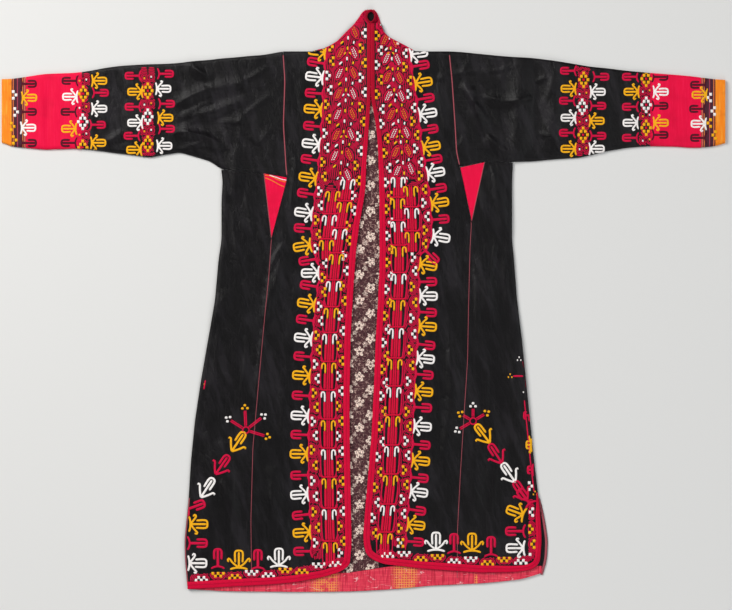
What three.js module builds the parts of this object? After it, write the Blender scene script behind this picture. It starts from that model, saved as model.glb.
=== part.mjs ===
// A long Turkmen woman's mantle of dark silk, laid out on its back with both sleeves spread.
//
// Millimetres. X runs across the garment to the wearer's left, Y up it to the neck, and Z up from the table.
// The origin lies on the table, under the middle of the garment. Every piece is a thin cloth wall: a grid of
// outer points and a grid of inner points one wall apart, closed along the cut edges. The sleeves, the side
// panels and the collar are sheets folded over, so their sections are a C whose lower arm lies on the table.
import * as THREE from "three";

// ---- Driving dimensions -------------------------------------------------------------------------------
const SPAN = 1446; // cuff to cuff
const LENGTH = 1167; // tip of the collar to the back hem
const WALL = 1.6; // outer silk with the cotton quilted to it
const THIN = 1.1; // lining and hem facing
const GAP = 0.3; // clearance between pieces that lie on each other
const SEAM = 0.35; // how far each panel stops short of a seam
const BACK_SEAM = 2.2; // the same in the lower layer
const REST = WALL + GAP; // height at which whatever lies on the back layer begins
const LOFT = 6.8; // height of the upper layer over the table
const LEAST_LOFT = 5.8; // the upper layer never sinks below this, so that it clears the lining
const FOLD = 8; // how far in from the outline a fold starts to turn down
const BRAID_WIDE = 13; // crimson edging along the front openings
const HEM_BRAID = 18; // the same edging along the hem
const BRAID_THICK = 1.4;
const LAPEL_WIDE = 92; // embroidered ground beside the opening
const LAPEL_RISE = 0.8; // how much the close stitching thickens it
const SHOULDER = 498; // height of the shoulder fold
const COLLAR_TIP = LENGTH / 2;
const CUFF_END = SPAN / 2;
const BINDING = 20; // yellow binding at the cuff
const CENTRE = 14.5; // the line on which the two halves of the collar meet

// A table from a line of column names and one row of numbers for each section.
const table = (names, rows) =>
  rows.map((row) => Object.fromEntries(names.split(" ").map((name, i) => [name, row[i]])));

// Each side of the garment. `front` is the opening edge, `seam` the front panel's outer edge, `outline` the
// folded edge of the side panel, `hem` the lower edge of the front, and `sleeve` the sleeve's two edges.
const SIDES = {
  right: {
    sign: -1,
    front: table("y x", [
      [565, 13.6], [396, 13.6], [376, 13], [330, 10], [282, 6.5], [218, 4], [154, -7.5], [104, -14],
      [14, -20.5], [-66, -25], [-192, -27.5], [-296, -27], [-394, -25], [-490, -23.5], [-520, -23.5],
    ]),
    seam: table("y x", [
      [498, -161], [440, -157], [352, -160], [254, -154], [246, -151.5], [124, -184], [50, -189], [-40, -198],
      [-160, -209], [-294, -221], [-440, -225], [-585, -223],
    ]),
    outline: table("y x", [
      [262, -285], [240, -281.5], [200, -284], [120, -284], [80, -290], [0, -297], [-80, -311], [-160, -325],
      [-240, -337], [-320, -345], [-400, -350], [-480, -358], [-520, -357], [-585, -351],
    ]),
    hem: table("x y", [
      [-360, -578], [-303, -575], [-247, -571.5], [-187, -568.5], [-135, -563.5], [-80, -553.5], [-52, -545],
      [-37, -537.5], [-28, -529], [-23.5, -519.5],
    ]),
    sleeve: table("x top bottom", [
      [-161, 497.65, 246], [-199, 490.5, 254], [-227, 488.5, 256.5], [-257, 485.5, 260], [-285, 483.5, 262],
      [-307, 480.5, 277.5], [-337, 478.5, 286.5], [-367, 474.5, 295], [-397, 472.5, 290.5], [-427, 472, 284.5],
      [-457, 470.5, 289], [-487, 468.5, 292.5], [-517, 464.5, 296.5], [-547, 458.5, 300.5], [-577, 454.5, 302.5],
      [-637, 452.5, 300.5], [-675, 446.5, 304], [-703, 442.5, 307], [-723, 442, 315],
    ]),
    underarm: table("x y", [[-151.5, 246], [-199, 254], [-285, 262]]),
    gusset: { corner: [-199, 254], tip: [-184, 124] },
    armpit: -285,
    forearm: -563,
    cuff: -675,
    slitTop: -388,
    back: null, // the two edges of the slit lie closed, under the side
  },
  left: {
    sign: 1,
    front: table("y x", [
      [565, 15.4], [396, 15.8], [370, 21], [330, 27], [282, 29.5], [218, 31], [142, 31.5], [66, 31.5],
      [-12, 28], [-66, 24.5], [-168, 20.5], [-270, 15.5], [-394, 5], [-466, -1], [-492, 0.5],
    ]),
    seam: table("y x", [
      [498, 171], [440, 177], [352, 183], [296, 186], [266, 193], [158, 216], [106, 213], [-12, 210],
      [-120, 208], [-244, 200], [-358, 193], [-458, 188], [-585, 187],
    ]),
    outline: table("y x", [
      [276, 299], [240, 297], [120, 297], [80, 301], [0, 307], [-80, 317], [-160, 325], [-240, 333],
      [-320, 341], [-388, 349], [-412, 353], [-478, 357], [-521, 354], [-560, 352],
    ]),
    hem: table("x y", [
      [0.5, -492], [3.5, -505], [11, -513.5], [24, -521.5], [41, -527.5], [107, -535.5], [161, -539.5],
      [233, -544.5], [299, -543.5], [325, -541], [340, -536], [349, -529], [357, -519],
    ]),
    sleeve: table("x top bottom", [
      [171, 497.65, 266], [193, 496.5, 267], [243, 491.5, 276.5], [273, 488.5, 276], [299, 486.5, 276],
      [337, 484.5, 277], [385, 478.5, 281.5], [433, 470.5, 284.5], [457, 466.5, 290], [481, 464.5, 296.5],
      [529, 458.5, 304.5], [553, 456.5, 306.5], [573, 454.5, 307.5], [625, 450.5, 306.5], [649, 448.5, 304.5],
      [673, 445.5, 304.5], [705, 441.5, 308], [723, 440.5, 314],
    ]),
    underarm: table("x y", [[193, 266], [242, 276.5], [299, 276]]),
    gusset: { corner: [242, 276.5], tip: [216, 158] },
    armpit: 299,
    forearm: 573,
    cuff: 675,
    slitTop: -388,
    back: table("y x", [[-388, 351], [-412, 357], [-440, 363], [-480, 369], [-520, 367], [-550, 358]]),
  },
};

// The back hem, which hangs lower than the front one and shows its facing below it.
const BACK_HEM = table("x y", [
  [-360, -577.5], [-307, -580], [-277, -582], [-127, -583.5], [-27, -582.5], [53, -578.5], [93, -575],
  [133, -571], [233, -566.5], [273, -563], [313, -558.5], [337, -552], [361, -544], [372, -538],
]);

// The collar's outline, from the shoulder up to its tip.
const COLLAR = table("y right left", [
  [498, -103, 104], [503, -80, 94], [509, -67, 84], [517, -54, 68], [526, -45, 51], [536, -35.5, 41.5],
  [547, -24, 37], [553.6, -18, 34.7], [566, -9, 31], [574, -4, 27.5], [580, 3, 22],
]);

// The largest folds in the upper layer: ridges, and troughs with a negative height. `bow` is how far the middle
// of the fold lies to the left of the line between its ends.
const FOLDS = table("x0 y0 x1 y1 bow wide high", [
  // right sleeve
  [-383, 388, -227, 436, 8, 14, 4], [-375, 360, -203, 414, -6, 12, 3.2], [-317, 345, -187, 424, 4, 13, -1.6],
  [-385, 338, -283, 302, 10, 13, 4.6], [-353, 474, -299, 442, -4, 12, 2.8], [-492, 464, -495, 300, 0, 17, -1.6],
  [-517, 312, -480, 340, 0, 11, 2.2], [-257, 310, -262, 200, 5, 15, 2.8],
  // left sleeve
  [199, 436, 243, 330, 7, 13, 4.6], [243, 330, 316, 284, -5, 13, 4.2], [222, 440, 262, 352, -3, 11, -1.6],
  [237, 404, 337, 408, -8, 12, 2.6], [317, 478, 315, 284, 3, 19, 3.2], [345, 474, 343, 288, 0, 15, -1.5],
  [372, 472, 371, 288, 4, 16, 2.6], [507, 456, 503, 304, 0, 17, -1.6],
  // right body
  [-162, 112, -201, -50, 4, 14, 3], [-317, -70, -271, 20, 3, 17, 2.4], [-283, -280, -255, -470, -4, 20, 3],
  [-188, -330, -170, -480, 3, 17, 2.4], [-322, -190, -330, -360, 0, 16, -1.2],
  // left body
  [250, 262, 285, 128, 6, 14, 3.2], [238, 110, 258, -60, -3, 18, 2.8], [296, -20, 313, -300, 4, 18, 2.2],
  [233, -300, 221, -460, -3, 20, 2.6], [180, -60, 166, -350, 3, 16, 2.2], [262, -150, 276, -330, 3, 18, -1.2],
]);

// ---- Curves and heights -------------------------------------------------------------------------------
const lerp = (a, b, t) => a + (b - a) * t;
const clamp = (v, low, high) => Math.min(Math.max(v, low), high);
const smooth = (v, from, to) => {
  const t = clamp((v - from) / (to - from), 0, 1);
  return t * t * (3 - 2 * t);
};
const mix = (a, b, t) => a.map((v, i) => lerp(v, b[i], t));

// A table read along one column as a function of another, straight between rows.
function reading(rows, key, value) {
  const sorted = [...rows].sort((a, b) => a[key] - b[key]);
  return (at) => {
    const last = sorted.length - 2;
    const i = clamp(sorted.findIndex((row) => row[key] > at) - 1, 0, last);
    const place = at >= sorted[last][key] ? last : i;
    const [a, b] = [sorted[place], sorted[place + 1]];
    return lerp(a[value], b[value], clamp((at - a[key]) / (b[key] - a[key]), 0, 1));
  };
}

const backHem = reading(BACK_HEM, "x", "y");
for (const side of Object.values(SIDES)) {
  side.frontX = reading(side.front, "y", "x");
  side.seamX = reading(side.seam, "y", "x");
  side.outlineX = reading(side.outline, "y", "x");
  side.backX = side.back ? reading(side.back, "y", "x") : side.outlineX;
  side.hemY = reading(side.hem, "x", "y");
  side.sleeveTop = reading(side.sleeve, "x", "top");
  side.sleeveBottom = reading(side.sleeve, "x", "bottom");
  side.underarmY = reading(side.underarm, "x", "y");
}

// What one fold adds to the height at a point: a soft ridge along a bowed line, tapered at its ends.
function foldHeight({ x0, y0, x1, y1, bow, wide, high }, x, y) {
  const [dx, dy] = [x1 - x0, y1 - y0];
  const long = Math.hypot(dx, dy);
  const along = ((x - x0) * dx + (y - y0) * dy) / (long * long);
  if (along < 0 || along > 1) return 0;
  const across = ((y - y0) * dx - (x - x0) * dy) / long - bow * 4 * along * (1 - along);
  return high * Math.sin(Math.PI * along) ** 0.7 * Math.exp(-((across / wide) ** 2));
}

// Height of the upper layer's outer face over the table.
function loft(x, y) {
  const folds = FOLDS.reduce((sum, fold) => sum + foldHeight(fold, x, y), 0);
  const swell = 0.45 * Math.sin(x / 83 + 0.8) * Math.sin(y / 119 - 0.4) + 0.3 * Math.sin((x + y) / 61);
  const collar = 5 * Math.exp(-(((x - CENTRE) / 24) ** 2)) * smooth(y, 330, 480);
  return Math.max(LOFT + folds + swell + collar, LEAST_LOFT);
}

// ---- Cloth walls --------------------------------------------------------------------------------------
// A grid of {out, inn} points as one closed solid. `has(i, j)` leaves out cells, and a cut edge is walled.
function wall(name, material, grid, has = () => true) {
  const [tall, wide] = [grid.length - 1, grid[0].length - 1];
  const there = (i, j) => i >= 0 && j >= 0 && i < tall && j < wide && has(i, j);
  const faces = [];
  const quad = (a, b, c, d) => faces.push(a, b, c, a, c, d);
  for (let i = 0; i < tall; i++) {
    for (let j = 0; j < wide; j++) {
      if (!there(i, j)) continue;
      const [a, b, c, d] = [grid[i][j], grid[i][j + 1], grid[i + 1][j + 1], grid[i + 1][j]];
      quad(a.out, b.out, c.out, d.out);
      quad(d.inn, c.inn, b.inn, a.inn);
      if (!there(i - 1, j)) quad(b.out, a.out, a.inn, b.inn);
      if (!there(i, j + 1)) quad(c.out, b.out, b.inn, c.inn);
      if (!there(i + 1, j)) quad(d.out, c.out, c.inn, d.inn);
      if (!there(i, j - 1)) quad(a.out, d.out, d.inn, a.inn);
    }
  }
  return solid(name, material, faces);
}

// A mesh from a flat list of triangle corners, turned the right way out.
function solid(name, material, corners) {
  const volume = corners.reduce((sum, point, i) => {
    if (i % 3) return sum;
    const [a, b, c] = [point, corners[i + 1], corners[i + 2]].map((p) => new THREE.Vector3(...p));
    return sum + a.dot(b.cross(c));
  }, 0);
  const ordered = volume < 0 ? [...corners].reverse() : corners;
  const geometry = new THREE.BufferGeometry();
  geometry.setAttribute("position", new THREE.Float32BufferAttribute(ordered.flat(), 3));
  geometry.computeVertexNormals();
  const mesh = new THREE.Mesh(geometry, material);
  mesh.name = name;
  return mesh;
}

// A point of a layer that lies level, with its inner point straight below.
const level = (x, y, z, thick = WALL) => ({ out: [x, y, z], inn: [x, y, z - thick] });

// A point of a layer that turns down round an edge. `turn` is 90 on top, 0 at the edge and -90 underneath;
// `place(d)` gives the plan position d inside the edge.
function turned(place, turn, high, low, thick = WALL) {
  const angle = THREE.MathUtils.degToRad(turn);
  const [c, s] = [Math.cos(angle), Math.sin(angle)];
  const rise = low === 0 ? high / 2 : high - low;
  const middle = low === 0 ? high / 2 : low;
  return {
    out: [...place(FOLD - FOLD * c), middle + rise * s],
    inn: [...place(FOLD - (FOLD - thick) * c), middle + (rise - thick) * s],
  };
}

// The same points moved out from the panel, as the two faces of something that lies on it.
function overlaid(point, lift, thick) {
  const away = new THREE.Vector3(...point.out).sub(new THREE.Vector3(...point.inn)).normalize();
  const moved = (by) => new THREE.Vector3(...point.out).addScaledVector(away, by).toArray();
  return { out: moved(lift + thick), inn: moved(lift) };
}

const silk = (color, roughness = 0.62) => new THREE.MeshStandardMaterial({ color, roughness, metalness: 0 });
const DARK = silk(0x1f1c20);
const RED = silk(0xd8062f, 0.55);
const CRIMSON = silk(0xc4102e, 0.7);
const STRIPED = silk(0x54323c);
const YELLOW = silk(0xe8870c);
const PRINT = silk(0x6b4640, 0.85);
const FACING = silk(0xd3404a, 0.8);

const mantle = new THREE.Group();

// ---- Body panels --------------------------------------------------------------------------------------
// Heights at which the front panel meets the sleeve, from the shoulder fold down to the underarm.
const ARMHOLE_STEPS = [1, 0.89, 0.78, 0.67, 0.56, 0.45, 0.34, 0.23, 0.12, 0];
const CURL = [0, 30, 60, 90];
const curlIn = (turn) => FOLD * (1 - Math.cos(THREE.MathUtils.degToRad(turn)));

function armholeHeights(side) {
  const [top, bottom] = [side.sleeve[0].top, side.sleeve[0].bottom];
  return ARMHOLE_STEPS.map((step) => lerp(bottom + FOLD, top - FOLD, step));
}

function frontPanel(key) {
  const side = SIDES[key];
  const { sign, frontX, seamX, hemY } = side;
  const top = side.sleeve[0].top;
  const foot = hemY(seamX(-550));
  const underarm = side.sleeve[0].bottom;
  const [, tipY] = side.gusset.tip;
  const gussetRows = [0.2, 0.4, 0.6, 0.8, 1].map((t) => lerp(underarm, tipY, t));
  const skirtRows = Array.from({ length: 20 }, (_, i) => lerp(tipY, foot + HEM_BRAID, (i + 1) / 20));
  const heights = [
    ...CURL.slice(0, 3).map((turn) => top - curlIn(turn)),
    ...armholeHeights(side),
    ...[...CURL].reverse().slice(1).map((turn) => underarm + curlIn(turn)),
    ...gussetRows, ...skirtRows, foot,
  ];
  const lapel = [0, BRAID_WIDE, 38, 64, LAPEL_WIDE - 2, LAPEL_WIDE];
  const plain = [0.28, 0.52, 0.76, 1];
  const across = (y, j) => {
    const edge = frontX(y) + sign * SEAM;
    if (j < lapel.length) return edge + sign * lapel[j];
    return lerp(edge + sign * LAPEL_WIDE, seamX(y) - sign * SEAM, plain[j - lapel.length]);
  };
  const columns = lapel.length + plain.length;
  const grid = heights.map((height, i) => {
    const last = i === heights.length - 1;
    const down = (top - height) / (top - foot - HEM_BRAID);
    return Array.from({ length: columns }, (_, j) => {
      // The last row follows the hem, and the row above it stands one braid higher.
      const hem = hemY(across(foot, j));
      const y = last ? hem : lerp(top, hem + HEM_BRAID, down);
      const x = across(y, j);
      const onShoulder = i < 3 && Math.abs(x - CENTRE) > 105;
      const rise = j > 0 && j < lapel.length - 1 ? LAPEL_RISE : 0;
      if (onShoulder) {
        return turned((d) => [x, top - d], CURL[i], loft(x, top - FOLD), REST);
      }
      const point = level(x, y, loft(x, y));
      point.out[2] += rise;
      return point;
    });
  });
  mantle.add(wall(`front_${key}`, DARK, grid));
  const lastRow = grid.length - 2;
  const braid = grid.map((row) => row.map((point) => overlaid(point, GAP, BRAID_THICK)));
  mantle.add(wall(`front_braid_${key}`, CRIMSON, braid, (i, j) => j === 0 || i === lastRow));
}

function gusset(key) {
  const side = SIDES[key];
  const [cornerX, cornerY] = side.gusset.corner;
  const [tipX, tipY] = side.gusset.tip;
  const topY = side.underarmY(side.seamX(side.sleeve[0].bottom));
  const grid = [0.01, 0.2, 0.4, 0.6, 0.8, 0.97].map((down) =>
    [0, 0.5, 1].map((across) => {
      const outer = mix([cornerX, cornerY], [tipX, tipY], down);
      const innerY = lerp(topY, tipY, down);
      const inner = [side.seamX(innerY), innerY];
      const inset = SEAM * 1.6 * side.sign;
      const [x, y] = mix([outer[0] - inset, outer[1]], [inner[0] + inset, inner[1]], across);
      return level(x, y - SEAM, loft(x, y));
    }),
  );
  mantle.add(wall(`gusset_${key}`, RED, grid));
}

function sidePanel(key) {
  const side = SIDES[key];
  const { sign, seamX, outlineX, backX, hemY, underarmY, slitTop } = side;
  const [cornerX, cornerY] = side.gusset.corner;
  const [tipX, tipY] = side.gusset.tip;
  const gussetX = (y) => lerp(tipX, cornerX, (y - tipY) / (cornerY - tipY));
  const innerX = (y) => (y > tipY ? gussetX(y) : seamX(y)) + sign * SEAM;
  const foot = hemY(seamX(-550));
  const rowsDown = [
    0, ...[0.2, 0.4, 0.6, 0.8, 1].map((t) => t * (cornerY - tipY)),
    ...Array.from({ length: 20 }, (_, i) => cornerY - lerp(tipY, foot + HEM_BRAID, (i + 1) / 20)),
    cornerY - foot,
  ];
  const upper = [0, 0.25, 0.5, 0.75, 1];
  const turns = [60, 30, 0, -30, -60, -90];
  const lower = [0.12, 0.5, 1];
  const columns = upper.length + turns.length + lower.length;
  const long = cornerY - foot;
  const grid = rowsDown.map((down, i) => {
    const [last, near] = [i === rowsDown.length - 1, down / (long - HEM_BRAID)];
    return Array.from({ length: columns }, (_, j) => {
      const under = j >= upper.length + turns.length - 1;
      const guess = lerp(cornerY, foot, Math.min(near, 1));
      const slit = guess < slitTop + 1;
      const open = slit && side.back !== null;
      const edge = under && open ? backX(guess) : outlineX(guess);
      const planX = (y) => {
        if (j < upper.length) {
          return lerp(innerX(y), outlineX(y) - sign * (open ? 0 : FOLD), upper[j]);
        }
        if (under) {
          const t = j === upper.length + turns.length - 1 ? 0 : lower[j - upper.length - turns.length];
          const start = (open ? backX(y) : outlineX(y) - sign * FOLD);
          return lerp(start, seamX(y) + sign * BACK_SEAM, t);
        }
        return edge;
      };
      const hemAt = under ? backHem(planX(foot)) : hemY(planX(foot));
      const topAt = underarmY(planX(cornerY)) - (under ? BACK_SEAM : SEAM);
      const y = last ? hemAt : lerp(topAt, hemAt + HEM_BRAID, near);
      const x = planX(y);
      if (j < upper.length) return level(x, y, loft(x, y));
      if (under) return { out: [x, y, 0], inn: [x, y, WALL] };
      const fold = outlineX(y);
      const high = loft(fold - sign * FOLD, y);
      return turned((d) => [fold - sign * d, y], turns[j - upper.length], high, 0);
    });
  });
  const slitRow = rowsDown.findIndex((down) => cornerY - down < slitTop + 1);
  const folded = (i, j) => !(side.back && i >= slitRow && j >= upper.length - 1 && j < upper.length + turns.length - 1);
  mantle.add(wall(`side_${key}`, DARK, grid, folded));
  const lastRow = grid.length - 2;
  const braid = grid.map((row) => row.map((point) => overlaid(point, GAP, BRAID_THICK)));
  const hemOnly = (i, j) => i === lastRow && j < upper.length - 1;
  mantle.add(wall(`side_braid_${key}`, CRIMSON, braid, hemOnly));
}

function backPanel() {
  const { right, left } = SIDES;
  const rows = [SHOULDER - SEAM, 440, 352, 296, 266, 246, 158, 124, 106, 50, -12, -40, -120, -160, -244, -294, -358,
    -440, -458, -535];
  const steps = [0, 0.2, 0.4, 0.6, 0.8, 1];
  const grid = [...rows, null].map((height) =>
    steps.map((t) => {
      const at = height ?? -570;
      const x = lerp(right.seamX(at) + SEAM, left.seamX(at) - SEAM, t);
      return { out: [x, height ?? backHem(x), 0], inn: [x, height ?? backHem(x), WALL] };
    }),
  );
  mantle.add(wall("back_panel", DARK, grid));
}

// ---- Sleeves ------------------------------------------------------------------------------------------
// One length of a sleeve, as a sheet folded along its upper edge and seamed along its lower one.
function sleevePart(name, material, side, stations, thick = WALL) {
  const { sign, seamX, sleeveTop, sleeveBottom, armpit } = side;
  const base = side.sleeve[0];
  const turns = [60, 30, 0, -30, -60, -90];
  const under = [0.35, 0.7, 1];
  const grid = stations.map((station) => {
    const atSeam = station === "seam";
    const top = atSeam ? base.top : sleeveTop(station);
    const bottom = (atSeam ? base.bottom : sleeveBottom(station)) + SEAM;
    const onX = (y) => (atSeam ? seamX(y) + sign * SEAM : station);
    const beyond = atSeam ? 0 : smooth(sign * station, sign * armpit - 14, sign * armpit + 6);
    const curl = CURL.slice(0, 3).map((turn) => {
      const flatY = bottom + curlIn(turn);
      const flat = level(onX(flatY), flatY, loft(onX(flatY), flatY), thick);
      const high = loft(onX(bottom), bottom + FOLD);
      const round = turned((d) => [onX(bottom), bottom + d], turn, high, REST, thick);
      return { out: mix(flat.out, round.out, beyond), inn: mix(flat.inn, round.inn, beyond) };
    });
    const upper = [...ARMHOLE_STEPS].reverse().map((step) => {
      const y = lerp(bottom - SEAM + FOLD, top - FOLD, step);
      return level(onX(y), y, loft(onX(y), y), thick);
    });
    const high = loft(onX(top), top - FOLD);
    const backX = (y) => onX(y) + (atSeam ? sign * BACK_SEAM : 0);
    const fold = turns.map((turn) => {
      const x = turn > 0 ? onX(top) : backX(top);
      return turned((d) => [x, top - d], turn, high, 0, thick);
    });
    const lower = under.map((t) => {
      const y = lerp(top - FOLD, bottom, t);
      return { out: [backX(y), y, 0], inn: [backX(y), y, thick] };
    });
    return [...curl, ...upper, ...fold, ...lower];
  });
  mantle.add(wall(name, material, grid));
}

function sleeve(key) {
  const side = SIDES[key];
  const { sign, forearm, cuff } = side;
  const between = (from, to, count) =>
    Array.from({ length: count + 1 }, (_, i) => lerp(from + sign * SEAM, to - sign * SEAM, i / count));
  const upper = side.sleeve.slice(1).map((row) => row.x).filter((x) => sign * x < sign * forearm - 8);
  sleevePart(`sleeve_${key}`, DARK, side, ["seam", ...upper, forearm - sign * SEAM]);
  sleevePart(`forearm_${key}`, RED, side, between(forearm, cuff, 4));
  sleevePart(`cuff_${key}`, STRIPED, side, between(cuff, sign * (CUFF_END - BINDING), 2));
  const end = sign * CUFF_END;
  sleevePart(`cuff_binding_${key}`, YELLOW, side, [sign * (CUFF_END - BINDING) + sign * SEAM, end - sign * 9, end], 2);
}

// ---- Collar -------------------------------------------------------------------------------------------
const collarRight = reading(COLLAR, "y", "right");
const collarLeft = reading(COLLAR, "y", "left");
const HOLE = { x: 14.6, y: 567, half: 6.5, tall: 9 }; // the eye that the edging leaves at the tip
const HOOD_TOP = 553; // the two halves part here, below the eye

function collar() {
  const turns = [60, 30, 0, -30, -60, -90];
  const braidTo = [0, BRAID_WIDE, 0.5, 1];
  const half = (y, edge, sign) =>
    braidTo.map((step) => {
      const room = edge - sign * FOLD;
      const start = CENTRE + sign * 0.9;
      const wide = Math.min(BRAID_WIDE, Math.abs(room - start) * 0.6);
      const x = step > 1 ? start + sign * wide : step === 0 ? start : lerp(start + sign * wide, room, step);
      return level(x, y, loft(x, y));
    });
  const fold = (y, edge, sign) =>
    turns.map((turn) => turned((d) => [edge - sign * d, y], turn, loft(edge - sign * FOLD, y), 0));
  const grid = COLLAR.map(({ y, right, left }) => {
    const under = [0.33, 0.67].map((t) => {
      const x = lerp(right + FOLD, left - FOLD, t);
      return { out: [x, y, 0], inn: [x, y, WALL] };
    });
    return [
      ...half(y, right, -1), ...fold(y, right, -1), ...under,
      ...fold(y, left, 1).reverse(), ...half(y, left, 1).reverse(),
    ];
  });
  const arms = braidTo.length + turns.length - 1;
  const wide = grid[0].length - 1;
  const lastHood = COLLAR.findIndex(({ y }) => y > HOOD_TOP);
  const hood = (i, j) => i < lastHood || (j >= arms && j < wide - arms);
  mantle.add(wall("collar", DARK, grid, hood));
  const raised = grid.map((row) => row.map((point) => overlaid(point, GAP, BRAID_THICK)));
  mantle.add(wall("collar_braid_right", CRIMSON, raised, (i, j) => i < lastHood && j === 0));
  mantle.add(wall("collar_braid_left", CRIMSON, raised, (i, j) => i < lastHood && j === wide - 1));
}

// The edging carried round the eye at the tip of the collar, as a soft roll that is open below.
function tipLoop() {
  const rings = Array.from({ length: 15 }, (_, i) => lerp(-62, 242, i / 14));
  const section = Array.from({ length: 8 }, (_, i) => (i * Math.PI) / 4);
  const [rise, middle] = [4.2, REST + 4.2];
  const grid = rings.map((degrees) => {
    const angle = THREE.MathUtils.degToRad(degrees);
    const direction = [Math.cos(angle), Math.sin(angle)];
    const inner = [HOLE.x + HOLE.half * direction[0], HOLE.y + HOLE.tall * direction[1]];
    const reach = direction[1] > 0 ? COLLAR_TIP - HOLE.y : COLLAR_TIP - HOLE.y - 2;
    const outer = [HOLE.x + 13.5 * direction[0], HOLE.y + reach * direction[1]];
    return section.map((turn) => {
      const [x, y] = mix(inner, outer, 0.5 - 0.5 * Math.cos(turn));
      return [x, y, middle + rise * Math.sin(turn)];
    });
  });
  const faces = [];
  for (let i = 0; i < grid.length - 1; i++) {
    for (let j = 0; j < section.length; j++) {
      const next = (j + 1) % section.length;
      const [a, b, c, d] = [grid[i][j], grid[i][next], grid[i + 1][next], grid[i + 1][j]];
      faces.push(a, b, c, a, c, d);
    }
  }
  const [first, last] = [grid[0], grid[grid.length - 1]];
  for (let j = 1; j < section.length - 1; j++) {
    faces.push(first[0], first[j + 1], first[j], last[0], last[j], last[j + 1]);
  }
  mantle.add(solid("tip_loop", CRIMSON, faces));
}

// ---- Inside -------------------------------------------------------------------------------------------
const TUCK = 30; // how far the lining runs on under each front
const facingTop = (x) => lerp(-545, -531, clamp((x + 30) / 90, 0, 1));

function lining() {
  const base = REST + THIN;
  const heights = Array.from({ length: 25 }, (_, i) => lerp(430, -505, i / 24));
  const grid = [...heights, null].map((height) =>
    [0, 0.22, 0.41, 0.59, 0.78, 1].map((t) => {
      const at = height ?? -515;
      const x = lerp(SIDES.right.frontX(at) - TUCK, SIDES.left.frontX(at) + TUCK, t);
      const y = height ?? facingTop(x) + 2 * SEAM;
      const ripple = 0.3 + 0.25 * Math.sin(y / 23 + x / 9) + 0.2 * Math.sin(y / 11 - x / 17);
      return level(x, y, base + Math.max(ripple, 0), THIN);
    }),
  );
  mantle.add(wall("lining", PRINT, grid));
}

function hemFacing() {
  const base = REST + THIN;
  const stations = Array.from({ length: 31 }, (_, i) => lerp(-347, 356, i / 30));
  const grid = stations.map((x) =>
    [0, 0.5, 1].map((t) => {
      const y = lerp(facingTop(x), backHem(x) + 0.4, t);
      const ripple = 0.25 + 0.25 * Math.sin(x / 13 + y / 19);
      return level(x, y, base + ripple, THIN);
    }),
  );
  mantle.add(wall("hem_facing", FACING, grid));
}

backPanel();
for (const key of ["right", "left"]) {
  frontPanel(key);
  gusset(key);
  sidePanel(key);
  sleeve(key);
}
collar();
tipLoop();
lining();
hemFacing();

export default mantle;
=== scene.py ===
"""A long Turkmen woman's mantle of dark silk, laid out flat, dressed round its cut pieces.

The garment's own tables are in millimetres, as a cutter would write them: X to the wearer's left, Y up to the
neck and Z up from the table. A finished mesh is scaled by MM, so every object is in metres.
"""
import functools
import math

import bpy
import numpy as np
from bpy.props import FloatProperty, FloatVectorProperty, PointerProperty
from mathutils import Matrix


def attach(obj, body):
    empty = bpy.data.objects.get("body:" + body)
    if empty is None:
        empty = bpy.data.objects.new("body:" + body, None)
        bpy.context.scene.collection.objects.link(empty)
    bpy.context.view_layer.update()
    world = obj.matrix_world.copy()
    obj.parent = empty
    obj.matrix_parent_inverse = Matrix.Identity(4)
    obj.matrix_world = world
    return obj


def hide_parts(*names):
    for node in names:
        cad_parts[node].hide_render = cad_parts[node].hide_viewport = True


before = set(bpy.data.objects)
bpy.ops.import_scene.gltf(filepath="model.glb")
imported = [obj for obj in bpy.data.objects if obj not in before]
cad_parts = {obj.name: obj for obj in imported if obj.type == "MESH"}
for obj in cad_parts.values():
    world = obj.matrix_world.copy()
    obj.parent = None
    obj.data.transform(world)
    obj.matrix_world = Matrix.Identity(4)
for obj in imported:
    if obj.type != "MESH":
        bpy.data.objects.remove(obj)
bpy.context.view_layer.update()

bl_info = {
    "name": "Embroidered Mantle",
    "version": (1, 0, 0),
    "blender": (4, 5, 0),
    "location": "View3D > Sidebar > Mantle",
    "description": "Builds an embroidered silk mantle, laid out flat, piece by piece",
    "category": "Add Mesh",
}

MM = 0.001

# ---- The cut, in millimetres ----
SPAN = 1446.0
# Air between two layers, and how far each piece keeps from the line of a seam, on top and in the lower layer.
GAP, SEAM, BACK_SEAM = 0.3, 0.35, 2.2
# Thickness of the silk, of the cottons and of the binding at the wrists, and where a layer rests on the back.
WALL, THIN, BINDING_THICK = 1.6, 1.1, 2.0
REST = WALL + GAP
# Usual and least height of the upper layer, and how far in from a folded edge it reaches that height.
LOFT, LEAST_LOFT, FOLD = 6.8, 5.8, 8.0
BRAID_WIDE, COLLAR_BRAID, HEM_BRAID, BRAID_THICK, BRAID_LOOP = 12.8, 7.6, 14.6, 1.4, 5.2
LAPEL_WIDE, LAPEL_RISE = 92.0, 0.8
SHOULDER_TOP, COLLAR_FOOT, COLLAR_TOP, HOOD_TOP = 497.65, 498, 580, 553.6
CENTRE, COLLAR_HALF = 14.5, 96
# The eye at the collar's tip: its middle, and how far the braid round it stands from that sideways and down.
EYE_X, EYE_Y, EYE_WIDE, EYE_TALL = 14.6, 566.8, 8.6, 14.7
# Width of the binding at the wrists, and how far the lining reaches under each front.
BINDING, TUCK = 20.0, 30.0
LINING_TOP, LINING_FOOT, FACING_ENDS = 430.0, -515.0, (-347, 356)
# Heights that no sleeve reaches down to, under the arms, where the slit starts, and a first guess at the hem.
SLEEVES_FOOT, SIDES_TOP, SLIT_TOP, NEAR_HEM = 150, 240, -388.0, -540


def table(names, rows):
    """Rows of numbers as a dictionary of columns."""
    return dict(zip(names.split(), np.array(rows, float).T))


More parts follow.
